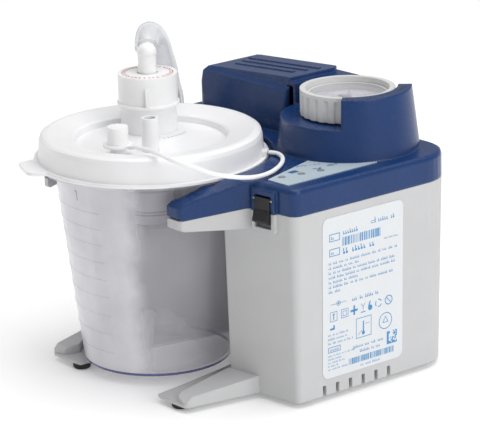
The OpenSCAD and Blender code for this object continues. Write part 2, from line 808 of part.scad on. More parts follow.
module pump_cylinder() {
    place() color([0.75, 0.76, 0.78]) at(crank, shelf_z + 3) {
        tube(cyl_bore_r + 2.6, cyl_bore_r, cyl_top - shelf_z - 3);
        translate([0, 0, cyl_top - shelf_z - 6]) difference() {
            rounded_box([2 * head_half, 2 * head_half, 3], 3);
            translate([0, 0, -1]) cylinder(r = cyl_bore_r + 1, h = 5);
            for (p = head_corners) at(p, -1) cylinder(r = 1.6, h = 5, $fn = 24);
        }
        for (i = [0:2]) translate([0, 0, 2 + 3.2 * i]) tube(cyl_bore_r + 4.2, cyl_bore_r + 2.5, 1.2);
    }
}

head_half = cyl_bore_r + 4;
head_corners = [for (sx = [-1, 1]) for (sy = [-1, 1]) (head_half - 3) * [sx, sy]];
module valve_plate() {
    place() color([0.8, 0.78, 0.7]) at(crank, cyl_top) difference() {
        rounded_box([2 * head_half, 2 * head_half, 1.6], 3);
        for (s = [-6, 6]) translate([s, 0, -1]) cylinder(r = 2, h = 4, $fn = 32);
        for (p = head_corners) at(p, -1) cylinder(r = 1.6, h = 4, $fn = 24);
    }
}

module pump_head() {
    place() color([0.16, 0.17, 0.19]) at(crank, cyl_top + 1.6) difference() {
        union() {
            rounded_box([2 * head_half, 2 * head_half, 9], 3);
            for (s = [[7, 5], [-7, 5]]) at(s, 8) cylinder(r = 3, h = 8, $fn = 48);
        }
        for (s = [-1, 1]) translate([s * 7 - 5, -9, -1]) cube([10, 18, 7]);
        for (s = [[7, 5], [-7, 5]]) at(s, 0) cylinder(r = 1.6, h = 20, $fn = 32);
        for (p = head_corners) at(p, -1) cylinder(r = 1.6, h = 20, $fn = 24);
    }
}

module head_screws() {
    place() color([0.6, 0.6, 0.62]) for (p = head_corners) at(crank + p, cyl_top - 4) {
        cylinder(r = 1.5, h = 14.7, $fn = 24);
        translate([0, 0, 14.62]) cylinder(r = 2.8, h = 2, $fn = 24);
    }
}

module exhaust_muffler() {
    place() color([0.25, 0.26, 0.28]) at([62, 112], floor_z) difference() {
        union() {
            cylinder(r = 9, h = 66);
            translate([0, 0, 66 - eps]) cylinder(r = 3, h = 9, $fn = 48);
        }
        translate([0, 0, 2]) cylinder(r = 7.4, h = 62);
        translate([0, 0, 60]) cylinder(r = 1.6, h = 20, $fn = 32);
    }
}

// ---- regulator and gauge, all on the tower's axis
regulator_bore_r = 9.7;
post_r = 3;
case_z = knob_z + 3;
case_r = knob_r - 3.8;
module regulator_body() {
    place() color([0.7, 0.68, 0.6]) at(tower, tower_ledge_z - 30) difference() {
        union() {
            cylinder(r = 14, h = 30 - wall - 0.1);
            translate([0, 0, 30 - wall - 0.1 - 3]) cylinder(r = 20, h = 3);
            translate([0, 0, -6]) cylinder(r = 3, h = 7, $fn = 48);
            rotate([0, 0, 38]) translate([12, 0, 5]) rotate([0, 90, 0]) cylinder(r = 3, h = 6, $fn = 48);
        }
        translate([0, 0, 4]) cylinder(r = regulator_bore_r, h = 40);
        translate([0, 0, -8]) cylinder(r = 1.6, h = 10, $fn = 32);
    }
}

module regulator_spring() {
    place() color([0.75, 0.75, 0.77]) at(tower, tower_ledge_z - 25.9)
        for (i = [0:4]) translate([0, 0, 1.9 * i]) tube(8.6, 6.8, 1);
}

module regulator_sleeve() {
    place() color([0.8, 0.7, 0.45]) at(tower, tower_ledge_z - 17) difference() {
        cylinder(r = regulator_bore_r - 0.3, h = 14);
        translate([0, 0, 2]) cylinder(r = 6.6, h = 20);
        translate([0, 0, -1]) cylinder(r = post_r + 0.3, h = 20, $fn = 48);
    }
}

module regulator_knob() {
    place() color([0.83, 0.83, 0.81]) at(tower) difference() {
        union() {
            translate([0, 0, knob_z]) difference() {
                cylinder(r = knob_r, h = knob_h, $fn = 144);
                translate([0, 0, 2.4]) cylinder(r = knob_r - 3.4, h = knob_h, $fn = 144);
            }
            translate([0, 0, tower_ledge_z - 14.4]) cylinder(r = 6.3, h = 17);
        }
        translate([0, 0, tower_ledge_z - 20]) cylinder(r = post_r + run, h = 40);
        for (i = [0:knob_flutes - 1]) rotate([0, 0, 360 * i / knob_flutes])
            translate([knob_r + 1.1, 0, knob_z - 1]) cylinder(r = 2, h = knob_h - 1.4, $fn = 24);
    }
}

module gauge_case() {
    place() color([0.8, 0.8, 0.79]) at(tower) difference() {
        union() {
            translate([0, 0, case_z]) cylinder(r = case_r, h = knob_top - 3.4 - case_z);
            translate([0, 0, tower_ledge_z - 26]) cylinder(r = post_r, h = case_z + 1 - tower_ledge_z + 26);
        }
        translate([0, 0, case_z + 1.6]) cylinder(r = case_r - 1.6, h = 30);
        translate([0, 0, case_z - 4]) cylinder(r = 0.9, h = 20, $fn = 32);
    }
}

dial_z = knob_top - 7.6;
module gauge_dial() {
    back_z = case_z + 1.62;
    place() color([0.9, 0.9, 0.88]) at(tower, back_z) tube(case_r - 1.7, 1.2, dial_z - back_z);
}

module gauge_needle() {
    place() color([0.2, 0.2, 0.22]) at(tower) {
        translate([0, 0, case_z - 2]) cylinder(r = 0.6, h = dial_z + 1 - case_z + 2, $fn = 24);
        translate([0, 0, dial_z + 0.7]) cylinder(r = 2.6, h = 1.5, $fn = 32);
        translate([0, 0, dial_z + 0.9]) linear_extrude(0.8)
            polygon([[-7, -1.2], [-7, 1.2], [0, 1.1], [case_r - 6, 0.3], [case_r - 6, -0.3], [0, -1.1]]);
    }
}

module gauge_window() {
    place() color([0.9, 0.95, 1, 0.3]) at(tower, knob_top - 4.8) cylinder(r = case_r - 1.62, h = 1.4);
}

// ---- vacuum plumbing
barb_r = 4.6;
module vacuum_barb() {
    place() color([0.85, 0.86, 0.86]) at(barb) difference() {
        union() {
            translate([0, 0, deck_z - 10]) cylinder(r = barb_r - 0.1, h = 26, $fn = 48);
            translate([0, 0, deck_z]) cylinder(r = 8, h = 2, $fn = 48);
            translate([0, 0, deck_z - wall - 2.2]) cylinder(r = 7.4, h = 2.1, $fn = 6);
        }
        translate([0, 0, deck_z - 12]) cylinder(r = 2.8, h = 40, $fn = 48);
        difference() {
            translate([-barb.x, -barb.y, deck_z - wall - 3]) cylinder(r = ledge_r + wall + 0.3, h = 2.95);
            translate([0, 0, deck_z - 12]) cylinder(r = barb_r - 0.1, h = 20, $fn = 48);
        }
    }
}

module vacuum_line() {
    place() color([0.85, 0.85, 0.8]) sweep(smooth(vacuum_route, 4), 3.6, 8, unit([0.5, -0.86, 0.1]));
}

module pump_line() {
    place() color([0.85, 0.85, 0.8]) sweep(smooth(pump_route, 4), 3.2, 8, unit([1, 0.2, -0.6]));
}

module exhaust_line() {
    place() color([0.85, 0.85, 0.8]) sweep(smooth(exhaust_route, 4), 3.2, 8, unit([0.5, 0.86, 0.1]));
}

// ---- bottle and lid
module bottle() {
    top_in = bottle_top_r - bottle_wall;
    base_in = bottle_base_r - bottle_wall;
    shoulder_r = min(rim_r - bottle_wall, top_in + 6) - 0.2;
    cone_h = 23;
    place() color([0.82, 0.82, 0.88, 0.35]) rotate_extrude($fn = 144) polygon([
        [0, bottle_z + cone_h], [9, bottle_z + cone_h], [11, bottle_z + cone_h - 1.5], [28, bottle_z + 1.6],
        [30.5, bottle_z], [bottle_base_r - 2.6, bottle_z], [bottle_base_r - 0.7, bottle_z + 0.8],
        [bottle_base_r, bottle_z + 2.6],
        [bottle_top_r, bottle_flange_z - 1.5], [bottle_top_r + 1, bottle_flange_z],
        [flange_r - 1, bottle_flange_z], [flange_r - 1, bottle_flange_z + bottle_flange_t],
        [rim_r, bottle_flange_z + bottle_flange_t], [rim_r, rim_z], [rim_r - bottle_wall, rim_z],
        [rim_r - bottle_wall, bottle_flange_z + 2], [shoulder_r, bottle_flange_z + 2],
        [top_in, bottle_flange_z - 2],
        [base_in, bottle_z + 3], [base_in - 1.6, bottle_z + bottle_wall], [31, bottle_z + bottle_wall],
        [12.2, bottle_z + cone_h + 0.2], [9.6, bottle_z + cone_h + bottle_wall],
        [0, bottle_z + cone_h + bottle_wall]]);
}

module lid_bowl() {
    t = lid_wall;
    rotate_extrude($fn = 144) polygon([
        [flange_r, flange_z], [flange_r, flange_z + flange_t], [recess_r + 0.1, flange_z + flange_t],
        [recess_r - 0.7, crest_z - 4], [recess_r - 1.5, crest_z - 1.4], [recess_r - 3.2, crest_z - 0.3],
        [recess_r - 5.6, crest_z], [dish_r + 2, dish_z + 4.4], [dish_r + 0.6, dish_z + 3.4], [dish_r, dish_z],
        [0, dish_z], [0, dish_z - t], [dish_r + t, dish_z - t], [dish_r + t + 0.6, dish_z + 2.2],
        [recess_r - 5.8, crest_z - t], [recess_r - 3.9, crest_z - t - 0.4], [recess_r - 2.6, crest_z - 4],
        [rim_r + 1.2, flange_z]]);
}

module grip_tab() {
    linear_extrude(flange_t) difference() {
        hull() {
            for (a = tab_angles) translate(tab_reach * [cos(a), sin(a)]) circle(r = tab_r, $fn = hull_fn);
            for (a = tab_angles) translate((flange_r - 10) * [cos(2 * a - 248), sin(2 * a - 248)])
                circle(r = tab_r, $fn = hull_fn);
        }
        circle(r = rim_r + 2);
    }
}

module lid() {
    place() color([0.95, 0.95, 0.95, 0.9]) difference() {
        union() {
            lid_bowl();
            translate([0, 0, flange_z]) grip_tab();
            at(cartridge, dish_z - lid_wall) cylinder(r = collar_r, h = collar_z - dish_z + lid_wall);
            at(cartridge, collar_z - eps) cylinder(r = collar_r - 0.3, h = cap_top - 3 - collar_z);
            at(port, dish_z - eps) cylinder(r = port_r, h = port_h, $fn = 64);
            at(spout, dish_z - eps) cylinder(r = 4.7, h = 11.6, $fn = 64);
            // Lug that holds the loose end of the tether
            rotate([0, 0, 41]) translate([recess_r - 1, -4, flange_z]) cube([4, 8, flange_t + 3.2]);
        }
        at(cartridge, dish_z - 5) cylinder(r = collar_r - 1.8, h = 50);
        at(port, dish_z - 5) cylinder(r = port_bore_r, h = 50, $fn = 64);
        at(spout, dish_z - 5) cylinder(r = 3.2, h = 50, $fn = 64);
    }
}

module lid_seal() {
    place() color([0.75, 0.76, 0.78]) translate([0, 0, rim_z + 0.1]) tube(rim_r - 0.9, rim_r - 2.5, 2.3);
}

cage_r = 15.6;
cage_top = dish_z - lid_wall - 0.1;
module float_cage() {
    place() color([0.85, 0.86, 0.9, 0.35]) at(cartridge) difference() {
        union() {
            translate([0, 0, cage_top - 1.4]) cylinder(r = cage_r + 4.6, h = 1.4);
            translate([0, 0, cage_top - 48]) cylinder(r = cage_r + 3, h = 48);
            translate([0, 0, cage_top - 57]) cylinder(r = cage_r, h = 10);
        }
        translate([0, 0, cage_top - 46.6]) cylinder(r = cage_r + 1.6, h = 42);
        translate([0, 0, cage_top - 55.6]) cylinder(r = cage_r - 1.4, h = 20);
        translate([0, 0, cage_top - 10]) cylinder(r = 5, h = 20);
        for (i = [0:3]) rotate([0, 0, 90 * i]) {
            rotate([0, 0, 45]) translate([8.4, 0, cage_top - 60]) cylinder(r = 3.4, h = 8, $fn = 32);
            translate([0, -4, cage_top - 20]) cube([30, 8, 12]);
        }
    }
}

module shutoff_float() {
    place() color([0.9, 0.9, 0.92]) at(cartridge, cage_top - 55.2) {
        cylinder(r = cage_r - 2.6, h = 20);
        translate([0, 0, 19.9]) cylinder(r1 = 8, r2 = 5.6, h = 6);
    }
}

module filter_cartridge() {
    place() color([0.92, 0.92, 0.9]) at(cartridge, dish_z + 0.6) difference() {
        cylinder(r = collar_r - 2.3, h = cap_top - 7.4 - dish_z);
        translate([0, 0, -1]) cylinder(r = 6, h = 50);
    }
}

module cartridge_cap() {
    place() color([0.96, 0.96, 0.96]) at(cartridge) rotate([0, 0, -40]) {
        difference() {
            translate([0, 0, cap_z]) cylinder(r = cap_r, h = cap_top - cap_z, $fn = 144);
            translate([0, 0, cap_z - 1]) cylinder(r = collar_r + 0.1, h = cap_top - cap_z - 1.4, $fn = 144);
            translate([0, 0, cap_z]) cylinder(r = 6.2, h = 40);
        }
        // Pointer rib and thumb ledge
        translate([cap_r - 1.1, -1.1, cap_z + 1]) cube([3.2, 2.2, 11.5]);
        difference() {
            translate([1.6, 0, cap_z]) cylinder(r = cap_r + 0.8, h = 1.6);
            translate([0, 0, cap_z - 1]) cylinder(r = collar_r + 0.1, h = 4, $fn = 144);
        }
    }
}

bend_z = cap_top + 12.5;
arm_dir = [-0.77, 0.64];
elbow_tilt = 62;
module elbow() {
    place() color([0.95, 0.95, 0.95]) at(cartridge) difference() {
        union() {
            translate([0, 0, cap_top - 5.6]) cylinder(r = collar_r - 2.4, h = 2.2);
            translate([0, 0, cap_top - 4]) cylinder(r = 5.5, h = bend_z - cap_top + 4, $fn = 64);
            translate([0, 0, bend_z]) sphere(r = 5.9, $fn = 48);
            translate([0, 0, bend_z]) rotate([0, 0, atan2(arm_dir.y, arm_dir.x)]) rotate([0, elbow_tilt, 0])
                cylinder(r = 4.6, h = 11.5, $fn = 64);
        }
        translate([0, 0, cap_top - 10]) cylinder(r = 3, h = bend_z - cap_top + 10, $fn = 48);
        translate([0, 0, bend_z]) sphere(r = 3.3, $fn = 48);
        translate([0, 0, bend_z]) rotate([0, 0, atan2(arm_dir.y, arm_dir.x)]) rotate([0, elbow_tilt, 0])
            cylinder(r = 3, h = 30, $fn = 48);
    }
}

module port_cap() {
    place() color([0.96, 0.96, 0.96]) at(spout, dish_z + 5.4) difference() {
        union() {
            cylinder(r = 8.8, h = 1.5, $fn = 64);
            cylinder(r = 6.2, h = 12, $fn = 64);
        }
        translate([0, 0, -1]) cylinder(r = 5.1, h = 9.6, $fn = 64);
    }
}

module cap_tether() {
    place() color([0.96, 0.96, 0.96]) sweep(smooth(tether_route, 4), 1.3, 8, [0, 0, 1]);
}

hose_r = 7.2;
hose_bore_r = 5.2;
module suction_hose() {
    place() color([0.85, 0.88, 0.92, 0.4])
        sweep(smooth(hose_route, 4), hose_r, 12, unit([0.8, 0.62, 0]), hose_bore_r);
}

lower_housing();
upper_housing();
label_plate();
control_panel();
indicator_lights();
rubber_feet();
case_screws();
latch_pins();
front_latch();
rear_latch();
dc_inlet();
switch_bezel();
power_rocker();
battery_pack();
battery_strap();
circuit_board();
pump_bracket();
bracket_grommets();
bracket_screws();
motor_can();
motor_endcap();
motor_shaft();
counterweight();
crank_bearing();
piston_rod();
piston_cup();
pump_cylinder();
valve_plate();
pump_head();
head_screws();
exhaust_muffler();
regulator_body();
regulator_spring();
regulator_sleeve();
regulator_knob();
gauge_case();
gauge_dial();
gauge_needle();
gauge_window();
vacuum_barb();
vacuum_line();
pump_line();
exhaust_line();
bottle();
lid();
lid_seal();
float_cage();
shutoff_float();
filter_cartridge();
cartridge_cap();
elbow();
port_cap();
cap_tether();
suction_hose();
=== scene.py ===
"""Looks of a portable suction pump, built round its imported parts.

Each sub-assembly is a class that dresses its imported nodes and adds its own
fine pieces: prints, graduations, ribs, the free hose and the cap's tether.
Lengths are in metres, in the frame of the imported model.
"""

import logging
import math
import random
from dataclasses import dataclass, field
from enum import Enum
from typing import Optional, Sequence, Union

import bpy
from mathutils import Matrix, Vector


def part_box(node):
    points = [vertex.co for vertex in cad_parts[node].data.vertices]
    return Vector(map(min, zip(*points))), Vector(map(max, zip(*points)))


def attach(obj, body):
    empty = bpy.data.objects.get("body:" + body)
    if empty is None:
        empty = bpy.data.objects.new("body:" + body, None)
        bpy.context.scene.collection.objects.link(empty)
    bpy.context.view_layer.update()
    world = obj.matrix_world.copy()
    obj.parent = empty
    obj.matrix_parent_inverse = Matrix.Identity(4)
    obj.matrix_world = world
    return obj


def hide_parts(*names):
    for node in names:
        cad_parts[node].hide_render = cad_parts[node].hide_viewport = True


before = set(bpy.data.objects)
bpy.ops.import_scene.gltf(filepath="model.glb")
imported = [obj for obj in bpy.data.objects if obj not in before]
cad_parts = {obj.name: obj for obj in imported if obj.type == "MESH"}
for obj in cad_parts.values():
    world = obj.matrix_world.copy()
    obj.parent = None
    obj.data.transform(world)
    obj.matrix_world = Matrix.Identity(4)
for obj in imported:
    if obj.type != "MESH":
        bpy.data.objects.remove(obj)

MM = 0.001
SINK = 0.05 * MM  # how far the foot of a raised mark goes into its surface
FILM = 0.05 * MM  # how far print lies above its surface
CLEAR = 20 * MM  # how far outside a node the search for its surface starts
EAST, NORTH, UP = Vector((1, 0, 0)), Vector((0, 1, 0)), Vector((0, 0, 1))
LOG = logging.getLogger("suction_pump")
Colour = tuple[float, float, float]
Number = Union[float, int]


# ---------------------------------------------------------------- shader maths


class Kind(Enum):
    """What a shader socket carries."""

    VALUE = "value"
    VECTOR = "vector"
    COLOUR = "colour"


class Wire:
    """An output socket that takes part in Python expressions."""

    def __init__(self, graph: "Graph", socket: bpy.types.NodeSocket, kind: Kind = Kind.VALUE) -> None:
        """Wraps a socket.

        Args:
            graph: The graph that the socket belongs to.
            socket: The output socket.
            kind: What the socket carries.
        """
        self.graph = graph
        self.socket = socket
        self.kind = kind

    def _join(self, operation: str, first: "Operand", second: "Operand") -> "Wire":
        """Adds the node for one operation.

        Args:
            operation: The operation's name.
            first: Left operand.
            second: Right operand.

        Returns:
            The result, of this wire's kind.
        """
        if self.kind is Kind.VALUE:
            made = self.graph.node("ShaderNodeMath", {"operation": operation}, {0: first, 1: second})
            return Wire(self.graph, made.outputs[0])
        made = self.graph.node("ShaderNodeVectorMath", {"operation": operation}, {0: first, 1: second})
        return Wire(self.graph, made.outputs[0], Kind.VECTOR)

    def __add__(self, other: "Operand") -> "Wire":
        """Sum."""
        return self._join("ADD", self, other)

    def __radd__(self, other: "Operand") -> "Wire":
        """Sum, reflected."""
        return self._join("ADD", other, self)

    def __sub__(self, other: "Operand") -> "Wire":
        """Difference."""
        return self._join("SUBTRACT", self, other)

    def __rsub__(self, other: "Operand") -> "Wire":
        """Difference, reflected."""
        return self._join("SUBTRACT", other, self)

    def __mul__(self, other: "Operand") -> "Wire":
        """Product."""
        return self._join("MULTIPLY", self, other)

    def __rmul__(self, other: "Operand") -> "Wire":
        """Product, reflected."""
        return self._join("MULTIPLY", other, self)

    def between(self, low: float, high: float) -> "Wire":
        """Ramps smoothly from 0 at low to 1 at high.

        Args:
            low: Where the ramp starts.
            high: Where the ramp ends.

        Returns:
            The ramp as a value.
        """
        made = self.graph.node("ShaderNodeMapRange", {"interpolation_type": "SMOOTHSTEP", "clamp": True},
                               {0: self, 1: low, 2: high, 3: 0.0, 4: 1.0})
        return Wire(self.graph, made.outputs[0])

    def blend(self, low: "Operand", high: "Operand") -> "Wire":
        """Mixes two colours with this value as the share of the second.

        Args:
            low: Colour where this value is 0.
            high: Colour where this value is 1.

        Returns:
            The mixed colour.
        """
        made = self.graph.node("ShaderNodeMix", {"data_type": "RGBA"}, {0: self, 6: low, 7: high})
        return Wire(self.graph, made.outputs[2], Kind.COLOUR)


Operand = Union[Wire, bpy.types.NodeSocket, Number, Sequence[float]]


class Graph:
    """The node tree of one material."""

    def __init__(self, name: str) -> None:
        """Makes an empty material.

        Args:
            name: The material's name.
        """
        self.material = bpy.data.materials.new(name)
        self.material.use_nodes = True
        self.tree = self.material.node_tree
        self.tree.nodes.clear()
        self.output = self.node("ShaderNodeOutputMaterial")

    def node(self, kind: str, settings: Optional[dict] = None,
             sockets: Optional[dict] = None) -> bpy.types.Node:
        """Adds one node.

        Args:
            kind: The node's type.
            settings: Properties set before the sockets.
            sockets: Values or links of its inputs, by name or index.

        Returns:
            The node.
        """
        made = self.tree.nodes.new(kind)
        for key, value in (settings or {}).items():
            setattr(made, key, value)
        for key, value in (sockets or {}).items():
            target = made.inputs[key]
            if isinstance(value, Wire):
                self.tree.links.new(value.socket, target)
            elif isinstance(value, bpy.types.NodeSocket):
                self.tree.links.new(value, target)
            elif isinstance(value, (int, float)):
                size = getattr(target, "default_value", 0.0)
                target.default_value = value if isinstance(size, float) else [value] * len(size)
            else:
                wanted = len(target.default_value)
                target.default_value = (list(value) + [1.0])[:wanted]
        return made

    def point(self, stretch: Sequence[float] = (1.0, 1.0, 1.0)) -> Wire:
        """Place on the surface in metres, fixed to the piece.

        Args:
            stretch: Factor on each axis.

        Returns:
            The place as a vector.
        """
        made = self.node("ShaderNodeTexCoord")
        place = Wire(self, made.outputs["Object"], Kind.VECTOR)
        return place if tuple(stretch) == (1.0, 1.0, 1.0) else place * tuple(stretch)

    def toward(self, axis: Vector, angle: float) -> Wire:
        """How far the surface point lies towards one side of an upright axis.

        Args:
            axis: A point of the axis.
            angle: The side, in degrees from +X.

        Returns:
            The cosine between the point's direction from the axis and the side.
        """
        flat = (self.point() - (axis.x, axis.y, 0.0)) * (1.0, 1.0, 0.0)
        unit = self.node("ShaderNodeVectorMath", {"operation": "NORMALIZE"}, {0: flat}).outputs[0]
        side = (math.cos(math.radians(angle)), math.sin(math.radians(angle)), 0.0)
        made = self.node("ShaderNodeVectorMath", {"operation": "DOT_PRODUCT"}, {0: unit, 1: side})
        return Wire(self, made.outputs["Value"])

    def noise(self, size: float, detail: float = 3.0, place: Optional[Wire] = None) -> Wire:
        """Cloudy noise from 0 to 1.

        Args:
            size: Width of its blobs in metres.
            detail: How many finer octaves it has.
            place: Where it is read, by default the surface point.

        Returns:
            The noise as a value.
        """
        made = self.node("ShaderNodeTexNoise", None,
                         {"Vector": place or self.point(), "Scale": 1.0 / size, "Detail": detail,
                          "Roughness": 0.55})
        return Wire(self, made.outputs[0])

    def cells(self, size: float, place: Optional[Wire] = None) -> Wire:
        """Distance to the nearest of many scattered points.

        Args:
            size: Usual distance between the points in metres.
            place: Where it is read, by default the surface point.

        Returns:
            The distance as a value.
        """
        made = self.node("ShaderNodeTexVoronoi", None,
                         {"Vector": place or self.point(), "Scale": 1.0 / size})
        return Wire(self, made.outputs[0])

    def rounded(self, radius: float) -> Wire:
        """A normal that rounds the piece's edges.

        Args:
            radius: Radius of the rounding in metres.

        Returns:
            The normal as a vector.
        """
        made = self.node("ShaderNodeBevel", {"samples": 6}, {"Radius": radius})
        return Wire(self, made.outputs[0], Kind.VECTOR)

    def edges(self, normal: Wire) -> Wire:
        """1 on sharp edges, 0 on flat faces.

        Args:
            normal: The rounded normal.

        Returns:
            The mask as a value.
        """
        plain = self.node("ShaderNodeNewGeometry").outputs["Normal"]
        made = self.node("ShaderNodeVectorMath", {"operation": "DOT_PRODUCT"}, {0: normal, 1: plain})
        return (1 - Wire(self, made.outputs["Value"])).between(0.01, 0.2)

    def bump(self, height: Wire, depth: float, normal: Optional[Wire] = None) -> Wire:
        """Small relief.

        Args:
            height: The relief from 0 to 1.
            depth: Its depth in metres.
            normal: The normal that it adds to.

        Returns:
            The normal as a vector.
        """
        sockets = {"Height": height, "Distance": depth, "Strength": 1.0}
        if normal is not None:
            sockets["Normal"] = normal
        return Wire(self, self.node("ShaderNodeBump", None, sockets).outputs[0], Kind.VECTOR)

    def principled(self, **sockets: Operand) -> bpy.types.NodeSocket:
        """A surface shader.

        Args:
            **sockets: Its inputs, with _ for a space.

        Returns:
            Its output socket.
        """
        named = {key.replace("_", " "): value for key, value in sockets.items()}
        return self.node("ShaderNodeBsdfPrincipled", None, named).outputs[0]

    def done(self, surface: bpy.types.NodeSocket) -> bpy.types.Material:
        """Ends the tree in this shader.

        Args:
            surface: The shader's output.

        Returns:
            The finished material.
        """
        self.tree.links.new(surface, self.output.inputs["Surface"])
        return self.material


# ---------------------------------------------------------------- finishes


@dataclass(frozen=True)
class Finish:
    """What a surface is made of; each kind builds its own material once."""

    name: str

    def build(self) -> bpy.types.Material:
        """Makes the material."""
        raise NotImplementedError

    def material(self) -> bpy.types.Material:
        """The material, made the first time it is asked for."""
        return bpy.data.materials.get(self.name) or self.build()


@dataclass(frozen=True)
class Moulded(Finish):
    """Injection moulded plastic with a fine spark-eroded grain.

    Attributes:
        colour: Base colour.
        rough: Roughness.
        grain: Size of the grain in metres.
        depth: Depth of the grain in metres.
        mottle: Share by which the colour drifts.
        soft: Radius of its rounded edges in metres.
        worn: How much lighter the edges are.
        shine: Specular level.
    """

    colour: Colour = (0.5, 0.5, 0.5)
    rough: float = 0.45
    grain: float = 0.5 * MM
    depth: float = 0.02 * MM
    mottle: float = 0.03
    soft: float = 0.8 * MM
    worn: float = 0.05
    shine: float = 0.5

    def build(self) -> bpy.types.Material:
        """Makes the material."""
        g = Graph(self.name)
        drift = g.noise(24 * MM, 3.0)
        low = tuple(c * (1 - self.mottle) for c in self.colour)
        high = tuple(min(1.0, c * (1 + self.mottle)) for c in self.colour)
        base = drift.between(0.3, 0.7).blend(low, high)
        normal = g.rounded(self.soft)
        rub = g.edges(normal) * g.noise(5 * MM, 2.0).between(0.35, 0.65) * self.worn
        pale = tuple(min(1.0, 0.35 + 0.65 * c) for c in self.colour)
        fine = g.noise(self.grain, 2.0)
        rough = self.rough + (g.noise(9 * MM, 4.0) - 0.5) * 0.08 + (fine - 0.5) * 0.06
        return g.done(g.principled(Base_Color=rub.blend(base, pale), Roughness=rough,
                                   Specular_IOR_Level=self.shine, Normal=g.bump(fine, self.depth, normal)))


@dataclass(frozen=True)
class MilkyPlastic(Finish):
    """White plastic that lets a little light in, as a thin lid does.

    Attributes:
        colour: Base colour.
        rough: Roughness.
        glow: Share of light that travels under the surface.
        soft: Radius of its rounded edges in metres.
    """

    colour: Colour = (0.9, 0.9, 0.9)
    rough: float = 0.35
    glow: float = 0.25
    soft: float = 0.5 * MM

    def build(self) -> bpy.types.Material:
        """Makes the material."""
        g = Graph(self.name)
        cloud = g.noise(14 * MM, 3.0).between(0.25, 0.75)
        low = tuple(c * 0.975 for c in self.colour)
        fine = g.noise(0.35 * MM, 2.0)
        flow = g.noise(3 * MM, 4.0, g.point((1.0, 1.0, 0.25)))
        rough = self.rough + (flow - 0.5) * 0.1
        return g.done(g.principled(Base_Color=cloud.blend(low, self.colour), Roughness=rough,
                                   Subsurface_Weight=self.glow, Subsurface_Radius=(1.0, 1.0, 1.0),
                                   Subsurface_Scale=1.5 * MM,
                                   Normal=g.bump(fine, 0.006 * MM, g.rounded(self.soft))))


@dataclass(frozen=True)
class ClearWall(Finish):
    """Thin clear plastic: mostly see-through, with haze, gloss and darker rims.

    Attributes:
        tint: What it lets through.
        haze: Colour of its haze.
        cover: Share of haze seen face on.
        rim: Share added where the wall is seen edge on.
        rough: Roughness of its gloss.
        frost: Share added on the frosted side behind the scale.
        frost_side: Direction of that side, in degrees.
        frost_node: Node whose upright axis the frosted side goes round.
    """

    tint: Colour = (0.93, 0.92, 0.95)
    haze: Colour = (0.7, 0.69, 0.74)
    cover: float = 0.1
    rim: float = 0.35
    rough: float = 0.12
    frost: float = 0.0
    frost_side: float = 236.0
    frost_node: str = "bottle"

    def build(self) -> bpy.types.Material:
        """Makes the material."""
        g = Graph(self.name)
        cloud = g.noise(18 * MM, 4.0)
        scuff = g.noise(2.2 * MM, 5.0, g.point((1.0, 1.0, 0.12))).between(0.6, 0.8)
        edge = Wire(g, g.node("ShaderNodeLayerWeight", None, {"Blend": 0.35}).outputs["Facing"])
        share = edge.between(0.25, 1.0) * self.rim + (cloud - 0.5) * 0.05 + scuff * 0.03 + self.cover
        if self.frost:
            side = g.toward(middle(self.frost_node), self.frost_side)
            share = share + (side + (cloud - 0.5) * 0.12).between(0.14, 0.42) * self.frost
        clear = g.node("ShaderNodeBsdfTransparent", None, {0: self.tint}).outputs[0]
        low = tuple(c * 0.93 for c in self.haze)
        shell = g.principled(Base_Color=cloud.between(0.3, 0.7).blend(low, self.haze),
                             Roughness=self.rough + scuff * 0.2, Specular_IOR_Level=0.9,
                             Normal=g.bump(cloud, 0.05 * MM))
        mixed = g.node("ShaderNodeMixShader", None, {0: share, 1: clear, 2: shell})
        return g.done(mixed.outputs[0])


@dataclass(frozen=True)
class Film(Finish):
    """Printed film or paper under a satin laminate.

    Attributes:
        colour: Base colour.
        rough: Roughness.
    """

    colour: Colour = (0.8, 0.8, 0.8)
    rough: float = 0.35

    def build(self) -> bpy.types.Material:
        """Makes the material."""
        g = Graph(self.name)
        sheet = g.noise(1.2 * MM, 4.0)
        low = tuple(c * 0.97 for c in self.colour)
        wave = g.noise(16 * MM, 2.0)
        return g.done(g.principled(Base_Color=sheet.between(0.3, 0.7).blend(low, self.colour),
                                   Roughness=self.rough + (sheet - 0.5) * 0.08, Specular_IOR_Level=0.4,
                                   Normal=g.bump(wave, 0.03 * MM)))


@dataclass(frozen=True)
class Ink(Finish):
    """Thin printed or pad-printed ink.

    Attributes:
        colour: Ink colour.
        rough: Roughness.
    """

    colour: Colour = (0.1, 0.1, 0.1)
    rough: float = 0.5

    def build(self) -> bpy.types.Material:
        """Makes the material."""
        g = Graph(self.name)
        dots = g.noise(0.25 * MM, 3.0).between(0.3, 0.75)
        pale = tuple(min(1.0, 0.1 + 0.9 * c) for c in self.colour)
        return g.done(g.principled(Base_Color=dots.blend(self.colour, pale), Roughness=self.rough,
                                   Specular_IOR_Level=0.3))


@dataclass(frozen=True)
class Metal(Finish):
    """Bare metal with fine tool marks along one axis.

    Attributes:
        colour: Metal colour.
        rough: Roughness.
        lay: Stretch of the marks on each axis.
    """

    colour: Colour = (0.6, 0.6, 0.62)
    rough: float = 0.35
    lay: tuple[float, float, float] = (1.0, 1.0, 0.08)

    def build(self) -> bpy.types.Material:
        """Makes the material."""
        g = Graph(self.name)
        marks = g.noise(0.35 * MM, 3.0, g.point(self.lay))
        stain = g.noise(7 * MM, 4.0).between(0.35, 0.75)
        dull = tuple(c * 0.8 for c in self.colour)
        return g.done(g.principled(Base_Color=stain.blend(self.colour, dull), Metallic=1.0,
                                   Roughness=self.rough + (marks - 0.5) * 0.25 + stain * 0.08,
                                   Normal=g.bump(marks, 0.01 * MM, g.rounded(0.3 * MM))))


